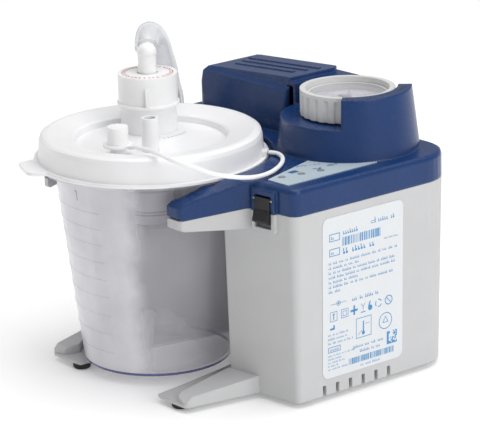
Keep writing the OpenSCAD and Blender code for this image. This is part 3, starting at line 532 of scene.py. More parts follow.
@dataclass(frozen=True)
class Rubber(Finish):
    """Soft rubber or silicone with a dusty bloom.

    Attributes:
        colour: Base colour.
        rough: Roughness.
        clear: Share of light that travels under the surface.
    """

    colour: Colour = (0.02, 0.02, 0.02)
    rough: float = 0.7
    clear: float = 0.0

    def build(self) -> bpy.types.Material:
        """Makes the material."""
        g = Graph(self.name)
        bloom = g.noise(4 * MM, 5.0).between(0.45, 0.8) * 0.35
        dusty = tuple(min(1.0, c + 0.06) for c in self.colour)
        skin = g.cells(0.6 * MM)
        return g.done(g.principled(Base_Color=bloom.blend(self.colour, dusty),
                                   Roughness=self.rough + bloom * 0.2,
                                   Subsurface_Weight=self.clear, Subsurface_Scale=2 * MM,
                                   Normal=g.bump(skin, 0.02 * MM, g.rounded(0.4 * MM))))


@dataclass(frozen=True)
class Fibre(Finish):
    """Pressed white filter fibre."""

    colour: Colour = (0.85, 0.85, 0.82)

    def build(self) -> bpy.types.Material:
        """Makes the material."""
        g = Graph(self.name)
        strands = g.noise(0.8 * MM, 6.0, g.point((1.0, 1.0, 0.3)))
        pleats = g.cells(2 * MM, g.point((1.0, 1.0, 0.02)))
        low = tuple(c * 0.82 for c in self.colour)
        return g.done(g.principled(Base_Color=strands.between(0.3, 0.7).blend(low, self.colour),
                                   Roughness=0.95,
                                   Normal=g.bump(strands + pleats, 0.25 * MM)))


@dataclass(frozen=True)
class CircuitBoard(Finish):
    """Green solder mask with copper tracks under it."""

    mask: Colour = (0.01, 0.1, 0.035)
    track: Colour = (0.03, 0.2, 0.07)

    def build(self) -> bpy.types.Material:
        """Makes the material."""
        g = Graph(self.name)
        made = g.node("ShaderNodeTexBrick", {"offset": 0.3},
                      {"Vector": g.point(), "Scale": 260.0, "Mortar Size": 0.04, "Color1": (0, 0, 0),
                       "Color2": (0, 0, 0), "Mortar": (1, 1, 1)})
        lines = Wire(g, made.outputs["Color"]) * 1.0
        drawn = Wire(g, g.node("ShaderNodeSeparateXYZ", None, {0: lines}).outputs[0])
        share = drawn * g.noise(6 * MM).between(0.4, 0.5)
        return g.done(g.principled(Base_Color=share.blend(self.mask, self.track), Roughness=0.3,
                                   Normal=g.bump(share, 0.03 * MM)))


@dataclass(frozen=True)
class SoftTube(Finish):
    """Clear soft hose wall with one printed stripe along it.

    Attributes:
        tint: What it lets through.
        haze: Colour of its haze.
        stripe: Colour of the stripe.
        at: Where round the hose the stripe lies, from 0 to 1.
        width: Its width as a share of the way round.
    """

    tint: Colour = (0.93, 0.93, 0.94)
    haze: Colour = (0.93, 0.93, 0.94)
    stripe: Colour = (0.3, 0.52, 0.78)
    at: float = 0.5
    width: float = 0.04

    def build(self) -> bpy.types.Material:
        """Makes the material."""
        g = Graph(self.name)
        chart = g.node("ShaderNodeSeparateXYZ", None, {0: g.node("ShaderNodeTexCoord").outputs["UV"]})
        round_way = Wire(g, chart.outputs[0])
        offset = {0: round_way - self.at}
        away = Wire(g, g.node("ShaderNodeMath", {"operation": "ABSOLUTE"}, offset).outputs[0])
        line = 1 - away.between(self.width * 0.4, self.width * 0.6)
        edge = Wire(g, g.node("ShaderNodeLayerWeight", None, {"Blend": 0.4}).outputs["Facing"])
        cloud = g.noise(6 * MM, 3.0)
        share = edge.between(0.2, 1.0) * 0.5 + (cloud - 0.5) * 0.06 + line * 0.55 + 0.3
        clear = g.node("ShaderNodeBsdfTransparent", None, {0: self.tint}).outputs[0]
        shell = g.principled(Base_Color=line.blend(self.haze, self.stripe),
                             Roughness=0.22 + (cloud - 0.5) * 0.1,
                             Specular_IOR_Level=0.7, Normal=g.bump(cloud, 0.08 * MM))
        return g.done(g.node("ShaderNodeMixShader", None, {0: share, 1: clear, 2: shell}).outputs[0])


NAVY = Moulded("satin_navy_shell", (0.008, 0.038, 0.142),
               0.27, 0.45 * MM, 0.014 * MM, 0.05, 1.9 * MM, 0.1, 0.34)
GREY = Moulded("pale_grey_shell", (0.56, 0.562, 0.568),
               0.55, 0.5 * MM, 0.025 * MM, 0.015, 1.1 * MM, 0.05, 0.4)
KNOB = Moulded("warm_grey_knob", (0.68, 0.68, 0.67), 0.42, 0.5 * MM, 0.012 * MM, 0.02, 0.5 * MM, 0.04, 0.45)
BLACK = Moulded("black_nylon", (0.012, 0.012, 0.014), 0.45, 0.4 * MM, 0.02 * MM, 0.1, 0.4 * MM, 0.3, 0.45)
DARK_ABS = Moulded("dark_grey_plastic", (0.05, 0.052, 0.056),
                   0.5, 0.5 * MM, 0.02 * MM, 0.06, 0.5 * MM, 0.2, 0.4)
PUMP_GREY = Moulded("mid_grey_plastic", (0.38, 0.385, 0.39),
                    0.5, 0.5 * MM, 0.02 * MM, 0.04, 0.4 * MM, 0.05, 0.4)
WHITE_PART = MilkyPlastic("white_fitting", (0.92, 0.92, 0.92), 0.38, 0.2, 0.5 * MM)
WHITE_LID = MilkyPlastic("white_lid_plastic", (0.88, 0.88, 0.89), 0.33, 0.25, 0.9 * MM)
FLOAT_WHITE = MilkyPlastic("float_foam", (0.85, 0.86, 0.88), 0.6, 0.1, 0.6 * MM)
BOTTLE_CLEAR = ClearWall("clear_bottle_wall", (0.985, 0.982, 0.99), (0.93, 0.92, 0.96),
                         0.17, 0.3, 0.1, 0.36)
CAGE_CLEAR = ClearWall("clear_cage_wall", (0.96, 0.955, 0.975), (0.6, 0.59, 0.68), 0.12, 0.4, 0.15)
WINDOW_CLEAR = ClearWall("clear_gauge_window", (0.97, 0.97, 0.98), (0.6, 0.6, 0.65), 0.05, 0.3, 0.06)
GRADUATION = ClearWall("moulded_scale", (0.93, 0.92, 0.95), (0.93, 0.92, 0.96), 0.16, 0.2, 0.2)
# Painted shade: a dark blue ring in place of the darkness that the clear base's edge shows.
BASE_RIM_SHADE = ClearWall("bottle_base_rim_painted_shade", (0.5, 0.5, 0.72), (0.07, 0.07, 0.26), 0.75, 0.25, 0.12)
LABEL_FILM = Film("white_label_film", (0.73, 0.75, 0.77), 0.4)
PANEL_FILM = Film("pale_blue_panel_film", (0.46, 0.55, 0.61), 0.38)
DIAL_CARD = Film("dial_card", (0.74, 0.74, 0.75), 0.45)
LIGHT_LENS = Moulded("lamp_lens", (0.3, 0.31, 0.33), 0.25, 0.5 * MM, 0.005 * MM, 0.03, 0.3 * MM, 0.0, 0.6)
LABEL_INK = Ink("light_blue_ink", (0.03, 0.25, 0.55), 0.5)
PANEL_INK = Ink("deep_blue_ink", (0.012, 0.07, 0.27), 0.45)
DIAL_INK = Ink("dial_ink", (0.09, 0.09, 0.11), 0.5)
SHIELD_INK = Ink("dark_navy_ink", (0.004, 0.008, 0.025), 0.4)
RED_INK = Ink("red_ink", (0.62, 0.05, 0.05), 0.45)
STEEL = Metal("turned_steel", (0.56, 0.57, 0.58), 0.3)
CAN_STEEL = Metal("plated_steel_can", (0.5, 0.51, 0.52), 0.34, (1.0, 0.08, 1.0))
CAST_ALLOY = Metal("cast_alloy", (0.62, 0.63, 0.65), 0.48, (1.0, 1.0, 1.0))
BRASS = Metal("turned_brass", (0.68, 0.5, 0.22), 0.32)
NEEDLE_PAINT = Moulded("needle_paint", (0.42, 0.42, 0.43),
                       0.4, 0.3 * MM, 0.004 * MM, 0.05, 0.2 * MM, 0.0, 0.4)
BLACK_RUBBER = Rubber("black_rubber", (0.018, 0.018, 0.018), 0.72)
SILICONE = Rubber("milky_silicone", (0.72, 0.72, 0.68), 0.45, 0.3)
CELL_WRAP = Moulded("battery_sleeve", (0.03, 0.06, 0.12),
                    0.3, 1.2 * MM, 0.03 * MM, 0.06, 1.0 * MM, 0.05, 0.5)
FILTER_FIBRE = Fibre("filter_fibre")
SOLDER_MASK = CircuitBoard("green_board")
HOSE_SOFT = SoftTube("soft_clear_hose")


# ---------------------------------------------------------------- meshes


def dress(finish: Finish, *names: str) -> None:
    """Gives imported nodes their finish.

    Args:
        finish: The finish.
        *names: The nodes.
    """
    for name in names:
        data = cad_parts[name].data
        data.materials.clear()
        data.materials.append(finish.material())


def add_piece(name: str, points: list[Vector], faces: list[Sequence[int]], finish: Finish, body: str,
              smooth: bool = False) -> bpy.types.Object:
    """Makes a mesh piece that rides on a body.

    Args:
        name: The piece's name.
        points: Its vertices in the model's frame.
        faces: Its faces.
        finish: Its finish.
        body: The body that it rides on.
        smooth: Whether its faces are shaded smooth.

    Returns:
        The piece.
    """
    data = bpy.data.meshes.new(name)
    data.from_pydata([tuple(p) for p in points], [], [tuple(f) for f in faces])
    data.validate()
    data.update()
    for face in data.polygons:
        face.use_smooth = smooth
    made = bpy.data.objects.new(name, data)
    bpy.context.scene.collection.objects.link(made)
    data.materials.append(finish.material())
    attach(made, body)
    LOG.info("%s: %d faces on %s", name, len(data.polygons), body)
    return made


def catmull(stops: Sequence[Sequence[float]], steps: int) -> list[Vector]:
    """A smooth line through points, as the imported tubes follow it.

    Args:
        stops: The points.
        steps: Stretches between two of them.

    Returns:
        The line's points.
    """
    pts = [Vector(p) for p in stops]
    last = len(pts) - 1
    line = []
    for i in range(last):
        a, b, c, d = pts[max(i - 1, 0)], pts[i], pts[i + 1], pts[min(i + 2, last)]
        for j in range(steps):
            t = j / steps
            line.append(0.5 * (2 * b + (c - a) * t + (2 * a - 5 * b + 4 * c - d) * t * t
                               + (3 * b - 3 * c + d - a) * t ** 3))
    return line + [pts[last]]


def tube(name: str, line: list[Vector], radius: float, bore: float, side: Vector, finish: Finish, body: str,
         sides: int = 32) -> bpy.types.Object:
    """A round hose with its inner wall and ends, and a chart for its stripe.

    Args:
        name: The piece's name.
        line: Its centre line.
        radius: Outer radius.
        bore: Inner radius, or 0 for a solid cord.
        side: A direction that the line never runs along.
        finish: Its finish.
        body: The body that it rides on.
        sides: Sides round it.

    Returns:
        The piece.
    """
    points: list[Vector] = []
    count = len(line)
    for r in ([radius, bore] if bore else [radius]):
        for i, p in enumerate(line):
            along = (line[min(i + 1, count - 1)] - line[max(i - 1, 0)]).normalized()
            across = along.cross(side).normalized()
            up = across.cross(along)
            for k in range(sides):
                a = 2 * math.pi * k / sides
                points.append(p + r * (math.cos(a) * across + math.sin(a) * up))
    faces: list[Sequence[int]] = []
    charts: list[list[tuple[float, float]]] = []
    for shell in range(2 if bore else 1):
        base = shell * count * sides
        for i in range(count - 1):
            here, there = base + i * sides, base + (i + 1) * sides
            for k in range(sides):
                n = (k + 1) % sides
                quad = [here + k, here + n, there + n, there + k]
                left, right = k / sides, (k + 1) / sides
                start, end = i / count, (i + 1) / count
                chart = [(left, start), (right, start), (right, end), (left, end)]
                faces.append(quad[::-1] if shell else quad)
                charts.append(chart[::-1] if shell else chart)
    for end in (0, count - 1):
        ring = [end * sides + k for k in range(sides)]
        if bore:
            base = count * sides
            for k in range(sides):
                n = (k + 1) % sides
                quad = [ring[k], base + ring[k], base + ring[n], ring[n]]
                faces.append(quad if end else quad[::-1])
                charts.append([(0.0, 0.0)] * 4)
        else:
            faces.append(ring if end else ring[::-1])
            charts.append([(0.0, 0.0)] * sides)
    made = add_piece(name, points, faces, finish, body, smooth=True)
    layer = made.data.uv_layers.new(name="chart")
    flat_chart = [uv for chart in charts for uv in chart]
    for loop, uv in zip(layer.data, flat_chart):
        loop.uv = uv
    return made


def weave(points: list[Vector], faces: list[Sequence[int]], rows: list[list[Vector]],
          closed: bool = False) -> None:
    """Adds rows of points with the faces between them.

    Args:
        points: The piece's vertices, which grow.
        faces: The piece's faces, which grow.
        rows: The new points, the same number in each row.
        closed: Whether the last row joins the first.
    """
    base, wide = len(points), len(rows[0])
    points += [p for row in rows for p in row]
    for i in range(len(rows) if closed else len(rows) - 1):
        here, there = base + i * wide, base + (i + 1) % len(rows) * wide
        faces += [(here + k, there + k, there + k + 1, here + k + 1) for k in range(wide - 1)]


Outline = list[list[tuple[float, float]]]


@dataclass
class Decal:
    """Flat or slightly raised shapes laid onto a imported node.

    Attributes:
        node: The node that carries them.
        origin: Where (0, 0) is, outside the surface.
        right: Direction of x.
        up: Direction of y.
        lift: Distance above the surface.
        height: How far the shapes stand up beyond that; 0 is flat ink.
        patches: Grids of points, one per shape.
    """

    node: str
    origin: Vector
    right: Vector
    up: Vector
    lift: float = FILM
    height: float = 0.0
    patches: list[Outline] = field(default_factory=list)

    def bar(self, x: float, y: float, w: float, h: float, cut: int = 1) -> None:
        """A rectangle from its lower left corner, in millimetres.

        Args:
            x: Left side.
            y: Lower side.
            w: Width.
            h: Height.
            cut: Pieces along its width.
        """
        self.patches.append([[(x + w * i / cut, y), (x + w * i / cut, y + h)] for i in range(cut + 1)])

    def ring(self, x: float, y: float, outer: float, inner: float, start: float = 0.0, end: float = 360.0,
             cut: int = 24) -> None:
        """A ring or part of one, in millimetres and degrees.

        Args:
            x: Middle.
            y: Middle.
            outer: Outer radius.
            inner: Inner radius.
            start: First angle.
            end: Last angle.
            cut: Pieces along it.
        """
        rows = []
        for i in range(cut + 1):
            a = math.radians(start + (end - start) * i / cut)
            rows.append([(x + inner * math.cos(a), y + inner * math.sin(a)),
                         (x + outer * math.cos(a), y + outer * math.sin(a))])
        self.patches.append(rows)

    def box(self, x: float, y: float, w: float, h: float, t: float) -> None:
        """An empty frame, in millimetres.

        Args:
            x: Left side.
            y: Lower side.
            w: Width.
            h: Height.
            t: Line width.
        """
        self.bar(x, y, w, t)
        self.bar(x, y + h - t, w, t)
        self.bar(x, y + t, t, h - 2 * t)
        self.bar(x + w - t, y + t, t, h - 2 * t)

    def stroke(self, x0: float, y0: float, x1: float, y1: float, t: float) -> None:
        """A straight line, in millimetres.

        Args:
            x0: Start.
            y0: Start.
            x1: End.
            y1: End.
            t: Line width.
        """
        d = Vector((x1 - x0, y1 - y0)).normalized() * (t / 2)
        n = Vector((-d.y, d.x))
        self.patches.append([[(x - n.x, y - n.y), (x + n.x, y + n.y)] for x, y in ((x0, y0), (x1, y1))])

    def words(self, x: float, y: float, width: float, height: float, chance: random.Random) -> None:
        """A row of plain dashes that stands for a line of small print.

        Args:
            x: Left side.
            y: Lower side.
            width: Length of the row.
            height: Height of the dashes.
            chance: Source of the dash lengths.
        """
        end = x + width
        while x < end - height:
            run = min(height * chance.choice((1.4, 2.2, 3.2, 4.4)), end - x)
            pitch = height * 0.62
            for i in range(max(1, int(run / pitch))):
                tall = height * chance.choice((0.72, 0.72, 1.0))
                self.bar(x + i * pitch, y, pitch * 0.66, tall * 0.42)
                self.bar(x + i * pitch, y + tall * 0.5, pitch * 0.3, tall * 0.5)
            x += run + height * 0.6

    def landed(self, x: float, y: float) -> Optional[tuple[Vector, Vector]]:
        """Where a point of the print meets the node.

        Args:
            x: Place along right, in millimetres.
            y: Place along up, in millimetres.

        Returns:
            The place and the surface's direction, or None if it misses.
        """
        toward = -self.right.cross(self.up)
        start = self.origin + self.right * (x * MM) + self.up * (y * MM)
        hit, place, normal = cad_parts[self.node].ray_cast(start, toward)[:3]
        return (place, normal) if hit else None

    def build(self, name: str, finish: Finish, body: str, slot: str) -> bpy.types.Object:
        """Lays the shapes down as one piece.

        Args:
            name: The piece's name.
            finish: Its finish.
            body: The body that it rides on.
            slot: Name of a material slot; not used.

        Returns:
            The piece.
        """
        points: list[Vector] = []
        faces: list[Sequence[int]] = []
        for rows in self.patches:
            spots = [[self.landed(*p) for p in row] for row in rows]
            if any(s is None for row in spots for s in row):
                continue
            base, wide, last = len(points), len(rows[0]), len(rows) - 1
            weave(points, faces, [[p + n * (self.lift + self.height) for p, n in row] for row in spots])
            if self.height:
                low = len(points)
                points += [p - n * SINK for row in spots for p, n in row]
                rim = [(i, 0) for i in range(last + 1)] + [(last, k) for k in range(1, wide)]
                rim += [(i, wide - 1) for i in range(last - 1, -1, -1)]
                rim += [(0, k) for k in range(wide - 2, 0, -1)]
                for (i, k), (j, m) in zip(rim, rim[1:] + rim[:1]):
                    a, b = i * wide + k, j * wide + m
                    faces.append((base + b, base + a, low + a, low + b))
        return add_piece(name, points, faces, finish, body)


def from_above(node: str, x: float, y: float, lift: float = FILM, height: float = 0.0) -> Decal:
    """An empty decal that is laid onto a node from above.

    Args:
        node: The node that carries it.
        x: Place of its (0, 0) in metres.
        y: Place of its (0, 0) in metres.
        lift: Distance above the surface.
        height: How far its shapes stand up beyond that.

    Returns:
        The decal.
    """
    return Decal(node, Vector((x, y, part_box(node)[1].z + CLEAR)), EAST, NORTH, lift, height)


def middle(node: str) -> Vector:
    """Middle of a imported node's box.

    Args:
        node: The node.

    Returns:
        The middle.
    """
    low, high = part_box(node)
    return (low + high) / 2


def about_bottle(route: Sequence[Sequence[float]], steps: int) -> list[Vector]:
    """A smooth line from points about the bottle's axis, in the model's frame.

    Args:
        route: The points in millimetres.
        steps: Stretches between two of them.

    Returns:
        The line's points in metres.
    """
    axis = middle("bottle")
    shift = Vector((axis.x, axis.y, 0.0))
    return [p * MM + shift for p in catmull(route, steps)]


# ---------------------------------------------------------------- sub-assemblies


@dataclass
class Studio:
    """Pale floor, soft lights and the camera.

    Attributes:
        azimuth: Direction of the camera round the object, in degrees.
        elevation: Its angle above the floor, in degrees.
        roll: Its tilt about its own line of sight, in degrees.
        distance: From the camera to the aim.
        aim: The point that it looks at.
        lens: Focal length in millimetres on a sensor 36 mm wide.
        floor_size: Width of the floor.
    """

    azimuth: float = 50.2325
    elevation: float = 16.9682
    roll: float = -1.5483
    distance: float = 1.65
    aim: tuple[float, float, float] = (0.0061, 0.00974, 0.09183)
    lens: float = 206.1
    floor_size: float = 14.0

    def camera(self) -> None:
        """Makes the camera."""
        a, e, r = (math.radians(x) for x in (self.azimuth, self.elevation, self.roll))
        back = Vector((math.sin(a) * math.cos(e), -math.cos(a) * math.cos(e), math.sin(e)))
        level = Vector((math.cos(a), math.sin(a), 0.0))
        rise = back.cross(level)
        right = level * math.cos(r) + rise * math.sin(r)
        up = back.cross(right)
        data = bpy.data.cameras.new("main_camera")
        data.lens, data.sensor_width, data.clip_start, data.clip_end = self.lens, 36.0, 0.05, 60.0
        made = bpy.data.objects.new("main_camera", data)
        place = Vector(self.aim) + back * self.distance
        made.matrix_world = Matrix(((right.x, up.x, back.x, place.x), (right.y, up.y, back.y, place.y),
                                    (right.z, up.z, back.z, place.z), (0, 0, 0, 1)))
        bpy.context.scene.collection.objects.link(made)
        bpy.context.scene.camera = made

    def floor(self) -> None:
        """Lays the floor, with a faint unevenness."""
        g = Graph("pale_floor")
        cloud = g.noise(0.5, 2.0).between(0.3, 0.7)
        tone = cloud.blend((0.93, 0.93, 0.93), (0.95, 0.95, 0.95))
        surface = g.principled(Base_Color=tone, Roughness=0.6, Specular_IOR_Level=0.2,
                               Emission_Color=(1.0, 1.0, 1.0), Emission_Strength=0.16)
        h = self.floor_size / 2
        data = bpy.data.meshes.new("floor")
        data.from_pydata([(-h, -h, 0), (h, -h, 0), (h, h, 0), (-h, h, 0)], [], [(0, 1, 2, 3)])
        made = bpy.data.objects.new("floor", data)
        bpy.context.scene.collection.objects.link(made)
        made.location.z = -0.0002
        data.materials.append(g.done(surface))

    def softbox(self, name: str, place: tuple[float, float, float], size: float, power: float) -> None:
        """Adds a square area light that faces the object.

        Args:
            name: Its name.
            place: Where it stands.
            size: Its width.
            power: Its power in watts.
        """
        data = bpy.data.lights.new(name, "AREA")
        data.shape, data.size, data.energy = "SQUARE", size, power
        made = bpy.data.objects.new(name, data)
        made.location = place
        made.rotation_mode = "QUATERNION"
        made.rotation_quaternion = (Vector(place) - Vector(self.aim)).to_track_quat("Z", "Y")
        bpy.context.scene.collection.objects.link(made)

    def lights(self) -> None:
        """Sets the sky and the soft lights."""
        world = bpy.data.worlds.new("studio")
        world.use_nodes = True
        world.node_tree.nodes["Background"].inputs[0].default_value = (1.0, 1.0, 1.0, 1.0)
        world.node_tree.nodes["Background"].inputs[1].default_value = 0.36
        bpy.context.scene.world = world
        bpy.context.scene.view_settings.view_transform = "Standard"
        self.softbox("top_box", (0.2, 0.3, 2.4), 2.4, 44.0)
        self.softbox("right_box", (2.2, 0.2, 1.1), 1.4, 20.0)
        self.softbox("left_box", (-2.2, -0.7, 0.7), 1.4, 8.0)

    def build(self) -> None:
        """Builds the whole stage."""
        self.floor()
        self.lights()
        self.camera()


@dataclass
class Hose:
    """The short clear hose from the lid's elbow to the barb on the deck.

    Attributes:
        radius: Outer radius.
        bore: Inner radius.
        route: Points of its centre line in millimetres, about the bottle's axis.
    """

    radius: float = 7.2 * MM
    bore: float = 5.2 * MM
    route: tuple[tuple[float, float, float], ...] = (
        (-24, 18.1, 189.5), (-29, 22.3, 193), (-34.5, 28.5, 194.8), (-40, 36.5, 191), (-44, 43, 184),
        (-47, 48, 175), (-50, 53, 165), (-53, 57, 155), (-54, 60, 146), (-54, 60, 137))

    def build(self) -> None:
        """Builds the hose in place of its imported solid."""
        side = Vector((0.8, -0.6, 0.1)).normalized()
        made = tube("suction_hose_soft", about_bottle(self.route, 6), self.radius, self.bore, side,
                    HOSE_SOFT, "canister_lid", 40)
        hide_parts("suction_hose")


@dataclass
class Shells:
    """Both halves of the housing with their screws, latches and feet."""

    def ribs(self) -> None:
        """Raises plain ribs on the battery block's top, where a maker would put a name."""
        low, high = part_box("upper_housing")
        decal = from_above("upper_housing", low.x + 26 * MM, high.y - 12 * MM, 0.0, 0.5 * MM)
        for row, (inset, length) in enumerate(((0.0, 66.0), (3.0, 60.0), (6.0, 54.0))):
            decal.bar(inset + 2.0, -9.0 - 8.0 * row, length, 2.6, 10)
        decal.build("block_ribs", NAVY, "housing", "blue_shell")

    def build(self) -> None:
        """Dresses the shells and adds the ribs."""
        dress(GREY, "lower_housing")
        dress(NAVY, "upper_housing")
        dress(BLACK_RUBBER, "rubber_feet")
        dress(STEEL, "case_screws", "latch_pins")
        dress(BLACK, "front_latch", "rear_latch", "dc_inlet", "switch_bezel", "power_rocker")
        self.ribs()


@dataclass
class RatingLabel:
    """The white label on the right wall with its plain blue print.

    Attributes:
        seed: Start of the random dash lengths.
    """

    seed: int = 7

    def build(self) -> None:
        """Dresses the label and prints it."""
        dress(LABEL_FILM, "label_plate")
        low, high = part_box("label_plate")
        ink = Decal("label_plate", Vector((high.x + CLEAR, low.y, low.z)), NORTH, UP, 0.06 * MM)
        chance = random.Random(self.seed)
        self.heading(ink, chance)
        self.paragraph(ink, chance)
        self.symbols(ink)
        self.foot(ink, chance)
        ink.build("label_print", LABEL_INK, "housing", "label")

    def heading(self, ink: Decal, chance: random.Random) -> None:
        """Prints the two reference rows and the date row.

        Args:
            ink: The print.
            chance: Source of the dash lengths.
        """
        ink.box(37.0, 88.2, 3.4, 1.6, 0.3)
        ink.bar(39.8, 88.2, 0.5, 3.4)
        ink.words(42.5, 88.2, 15.5, 2.6, chance)
        for low in (83.4, 74.4):
            ink.box(5.0, low, 8.0, 4.6, 0.45)
            ink.words(6.3, low + 1.3, 5.6, 2.0, chance)
        ink.words(15.5, 86.0, 14.0, 2.7, chance)
        self.barcode(ink, 15.0, 79.2, 30.0, 5.2, chance)
        ink.words(15.5, 74.2, 26.5, 3.5, chance)
        ink.words(47.0, 76.5, 11.5, 1.0, chance)

    def barcode(self, ink: Decal, x: float, y: float, w: float, h: float, chance: random.Random) -> None:
        """Prints a row of upright bars.

        Args:
            ink: The print.
            x: Left side.
            y: Lower side.
            w: Width.
            h: Height.
            chance: Source of the bar widths.
        """
        place = x
        while place < x + w - 1.0:
            wide = chance.choice((0.3, 0.3, 0.6, 0.9))
            ink.bar(place, y, wide, h)
            place += wide + chance.choice((0.3, 0.5, 0.8))

    def paragraph(self, ink: Decal, chance: random.Random) -> None:
        """Prints the small lines of the middle.

        Args:
            ink: The print.
            chance: Source of the dash lengths.
        """
        for i, width in enumerate((54.0, 24.0, 52.0, 52.0, 25.0, 50.0, 9.0)):
            ink.words(4.5, 69.6 - 2.9 * i, width, 1.7, chance)
        ink.stroke(6.0, 45.0, 10.5, 45.0, 0.3)
        ink.ring(12.0, 45.0, 1.5, 1.1)
        ink.ring(12.0, 45.0, 0.6, 0.01)
        ink.stroke(13.5, 45.0, 18.0, 45.0, 0.3)
        ink.words(22.5, 43.8, 23.0, 2.1, chance)

    def symbols(self, ink: Decal) -> None:
        """Prints two rows of plain symbols.

        Args:
            ink: The print.
        """
        ink.box(5.5, 34.5, 5.5, 6.0, 0.35)
        ink.ring(8.25, 38.8, 0.7, 0.01)
        ink.bar(7.9, 35.6, 0.7, 2.6)
        ink.box(14.0, 35.0, 5.5, 5.5, 0.35)
        ink.box(15.2, 36.2, 3.1, 3.1, 0.3)
        ink.bar(23.4, 34.8, 1.3, 6.0)
        ink.bar(21.2, 37.0, 5.6, 1.3)
        ink.stroke(29.4, 40.6, 31.0, 38.2, 0.35)
        ink.stroke(32.6, 40.6, 31.0, 38.2, 0.35)
        ink.stroke(31.0, 38.2, 31.0, 36.0, 0.35)
        ink.bar(29.2, 34.8, 3.6, 0.6)
        ink.ring(36.5, 36.6, 1.7, 0.01)
        ink.stroke(35.4, 37.6, 36.5, 40.8, 0.9)
        for start in (20, 140, 260):
            ink.ring(43.0, 37.8, 2.6, 2.0, start, start + 80, 8)
        ink.ring(51.0, 38.0, 3.0, 2.4)
        ink.stroke(49.0, 40.0, 53.0, 36.0, 0.5)
        ink.bar(5.5, 29.4, 3.6, 1.2)
        ink.bar(8.0, 30.0, 1.1, 2.2)
        ink.box(25.5, 19.5, 12.0, 12.5, 0.4)
        ink.bar(30.8, 22.6, 0.9, 7.0)
        ink.ring(31.2, 22.2, 1.2, 0.01)
        ink.stroke(27.0, 21.4, 30.0, 24.0, 0.3)
        ink.stroke(32.6, 27.6, 36.0, 27.6, 0.3)
        ink.ring(48.5, 25.5, 5.2, 4.7, 0, 360, 36)
        ink.stroke(46.4, 24.6, 48.5, 28.2, 0.4)
        ink.stroke(48.5, 28.2, 50.6, 24.6, 0.4)
        ink.stroke(46.4, 24.6, 50.6, 24.6, 0.4)

    def foot(self, ink: Decal, chance: random.Random) -> None:
        """Prints the address lines, the square pattern and the long bar row.

        Args:
            ink: The print.
            chance: Source of the dash lengths.
        """
        for i, width in enumerate((16.0, 15.0, 20.0)):
            ink.words(4.0, 26.0 - 2.6 * i, width, 1.3, chance)
        ink.box(4.0, 15.6, 9.5, 3.4, 0.4)
        ink.words(5.4, 16.5, 7.0, 1.6, chance)
        for i, width in enumerate((21.0, 12.0, 13.0, 8.0, 16.0)):
            ink.words(4.0, 13.2 - 2.1 * i, width, 1.1, chance)
        ink.words(23.5, 14.0, 24.0, 1.8, chance)
        ink.words(28.5, 10.6, 19.0, 1.8, chance)
        for i in range(10):
            for k in range(10):
                if chance.random() < 0.52 or 0 in (i, k):
                    ink.bar(49.6 + 0.8 * i, 10.2 + 0.8 * k, 0.8, 0.8)
        self.barcode(ink, 20.0, 4.6, 36.0, 3.8, chance)
        ink.words(29.0, 1.9, 17.0, 1.4, chance)


@dataclass
class ControlPanel:
    """The pale blue panel on the deck with its three lamps."""

    def symbol(self, ink: Decal, which: int, x: float, y: float) -> None:
        """Prints the plain symbol beside one lamp.

        Args:
            ink: The print.
            which: The lamp's number from the front.
            x: Middle of the symbol, in millimetres.
            y: Middle of the symbol, in millimetres.
        """
        if which == 0:
            ink.bar(x - 1.6, y - 2.6, 3.0, 3.4)
            ink.bar(x - 0.8, y + 0.8, 1.4, 1.8)
        elif which == 1:
            ink.bar(x - 2.0, y - 3.0, 4.0, 6.0)
        else:
            ink.stroke(x - 1.8, y - 2.2, x + 1.4, y + 0.4, 1.2)
            ink.stroke(x + 1.4, y + 0.4, x - 0.6, y + 2.6, 1.2)

    def build(self) -> None:
        """Dresses the panel and prints its symbols."""
        dress(PANEL_FILM, "control_panel")
        dress(LIGHT_LENS, "indicator_lights")
        low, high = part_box("control_panel")
        ink = from_above("control_panel", low.x, low.y)
        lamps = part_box("indicator_lights")
        first, last = lamps[0] - low, lamps[1] - low
        for i in range(3):
            x = (first.x + (last.x - first.x) * i / 2) / MM - 6.0
            y = (first.y + (last.y - first.y) * i / 2) / MM - 1.0
            self.symbol(ink, i, x, y)
        chance = random.Random(3)
        for row in range(2):
            for i in range(6):
                tall = 1.8 * chance.choice((0.6, 1.0))
                ink.bar(1.6 + 3.0 * row + 1.1 * i, 22.0 + 8.0 * row + 2.2 * i, 0.7, tall)
        for i in range(11):
            tall = chance.choice((1.6, 2.4, 3.2))
            ink.bar(16.4 - tall / 2 + 0.1 * i, 43.5 + 1.9 * i, tall, 1.1)
        ink.ring(22.0, 59.0, 4.2, 3.2)
        ink.ring(22.0, 59.0, 2.4, 0.8, 30, 250, 16)
        ink.build("panel_print", PANEL_INK, "housing", "panel_film")


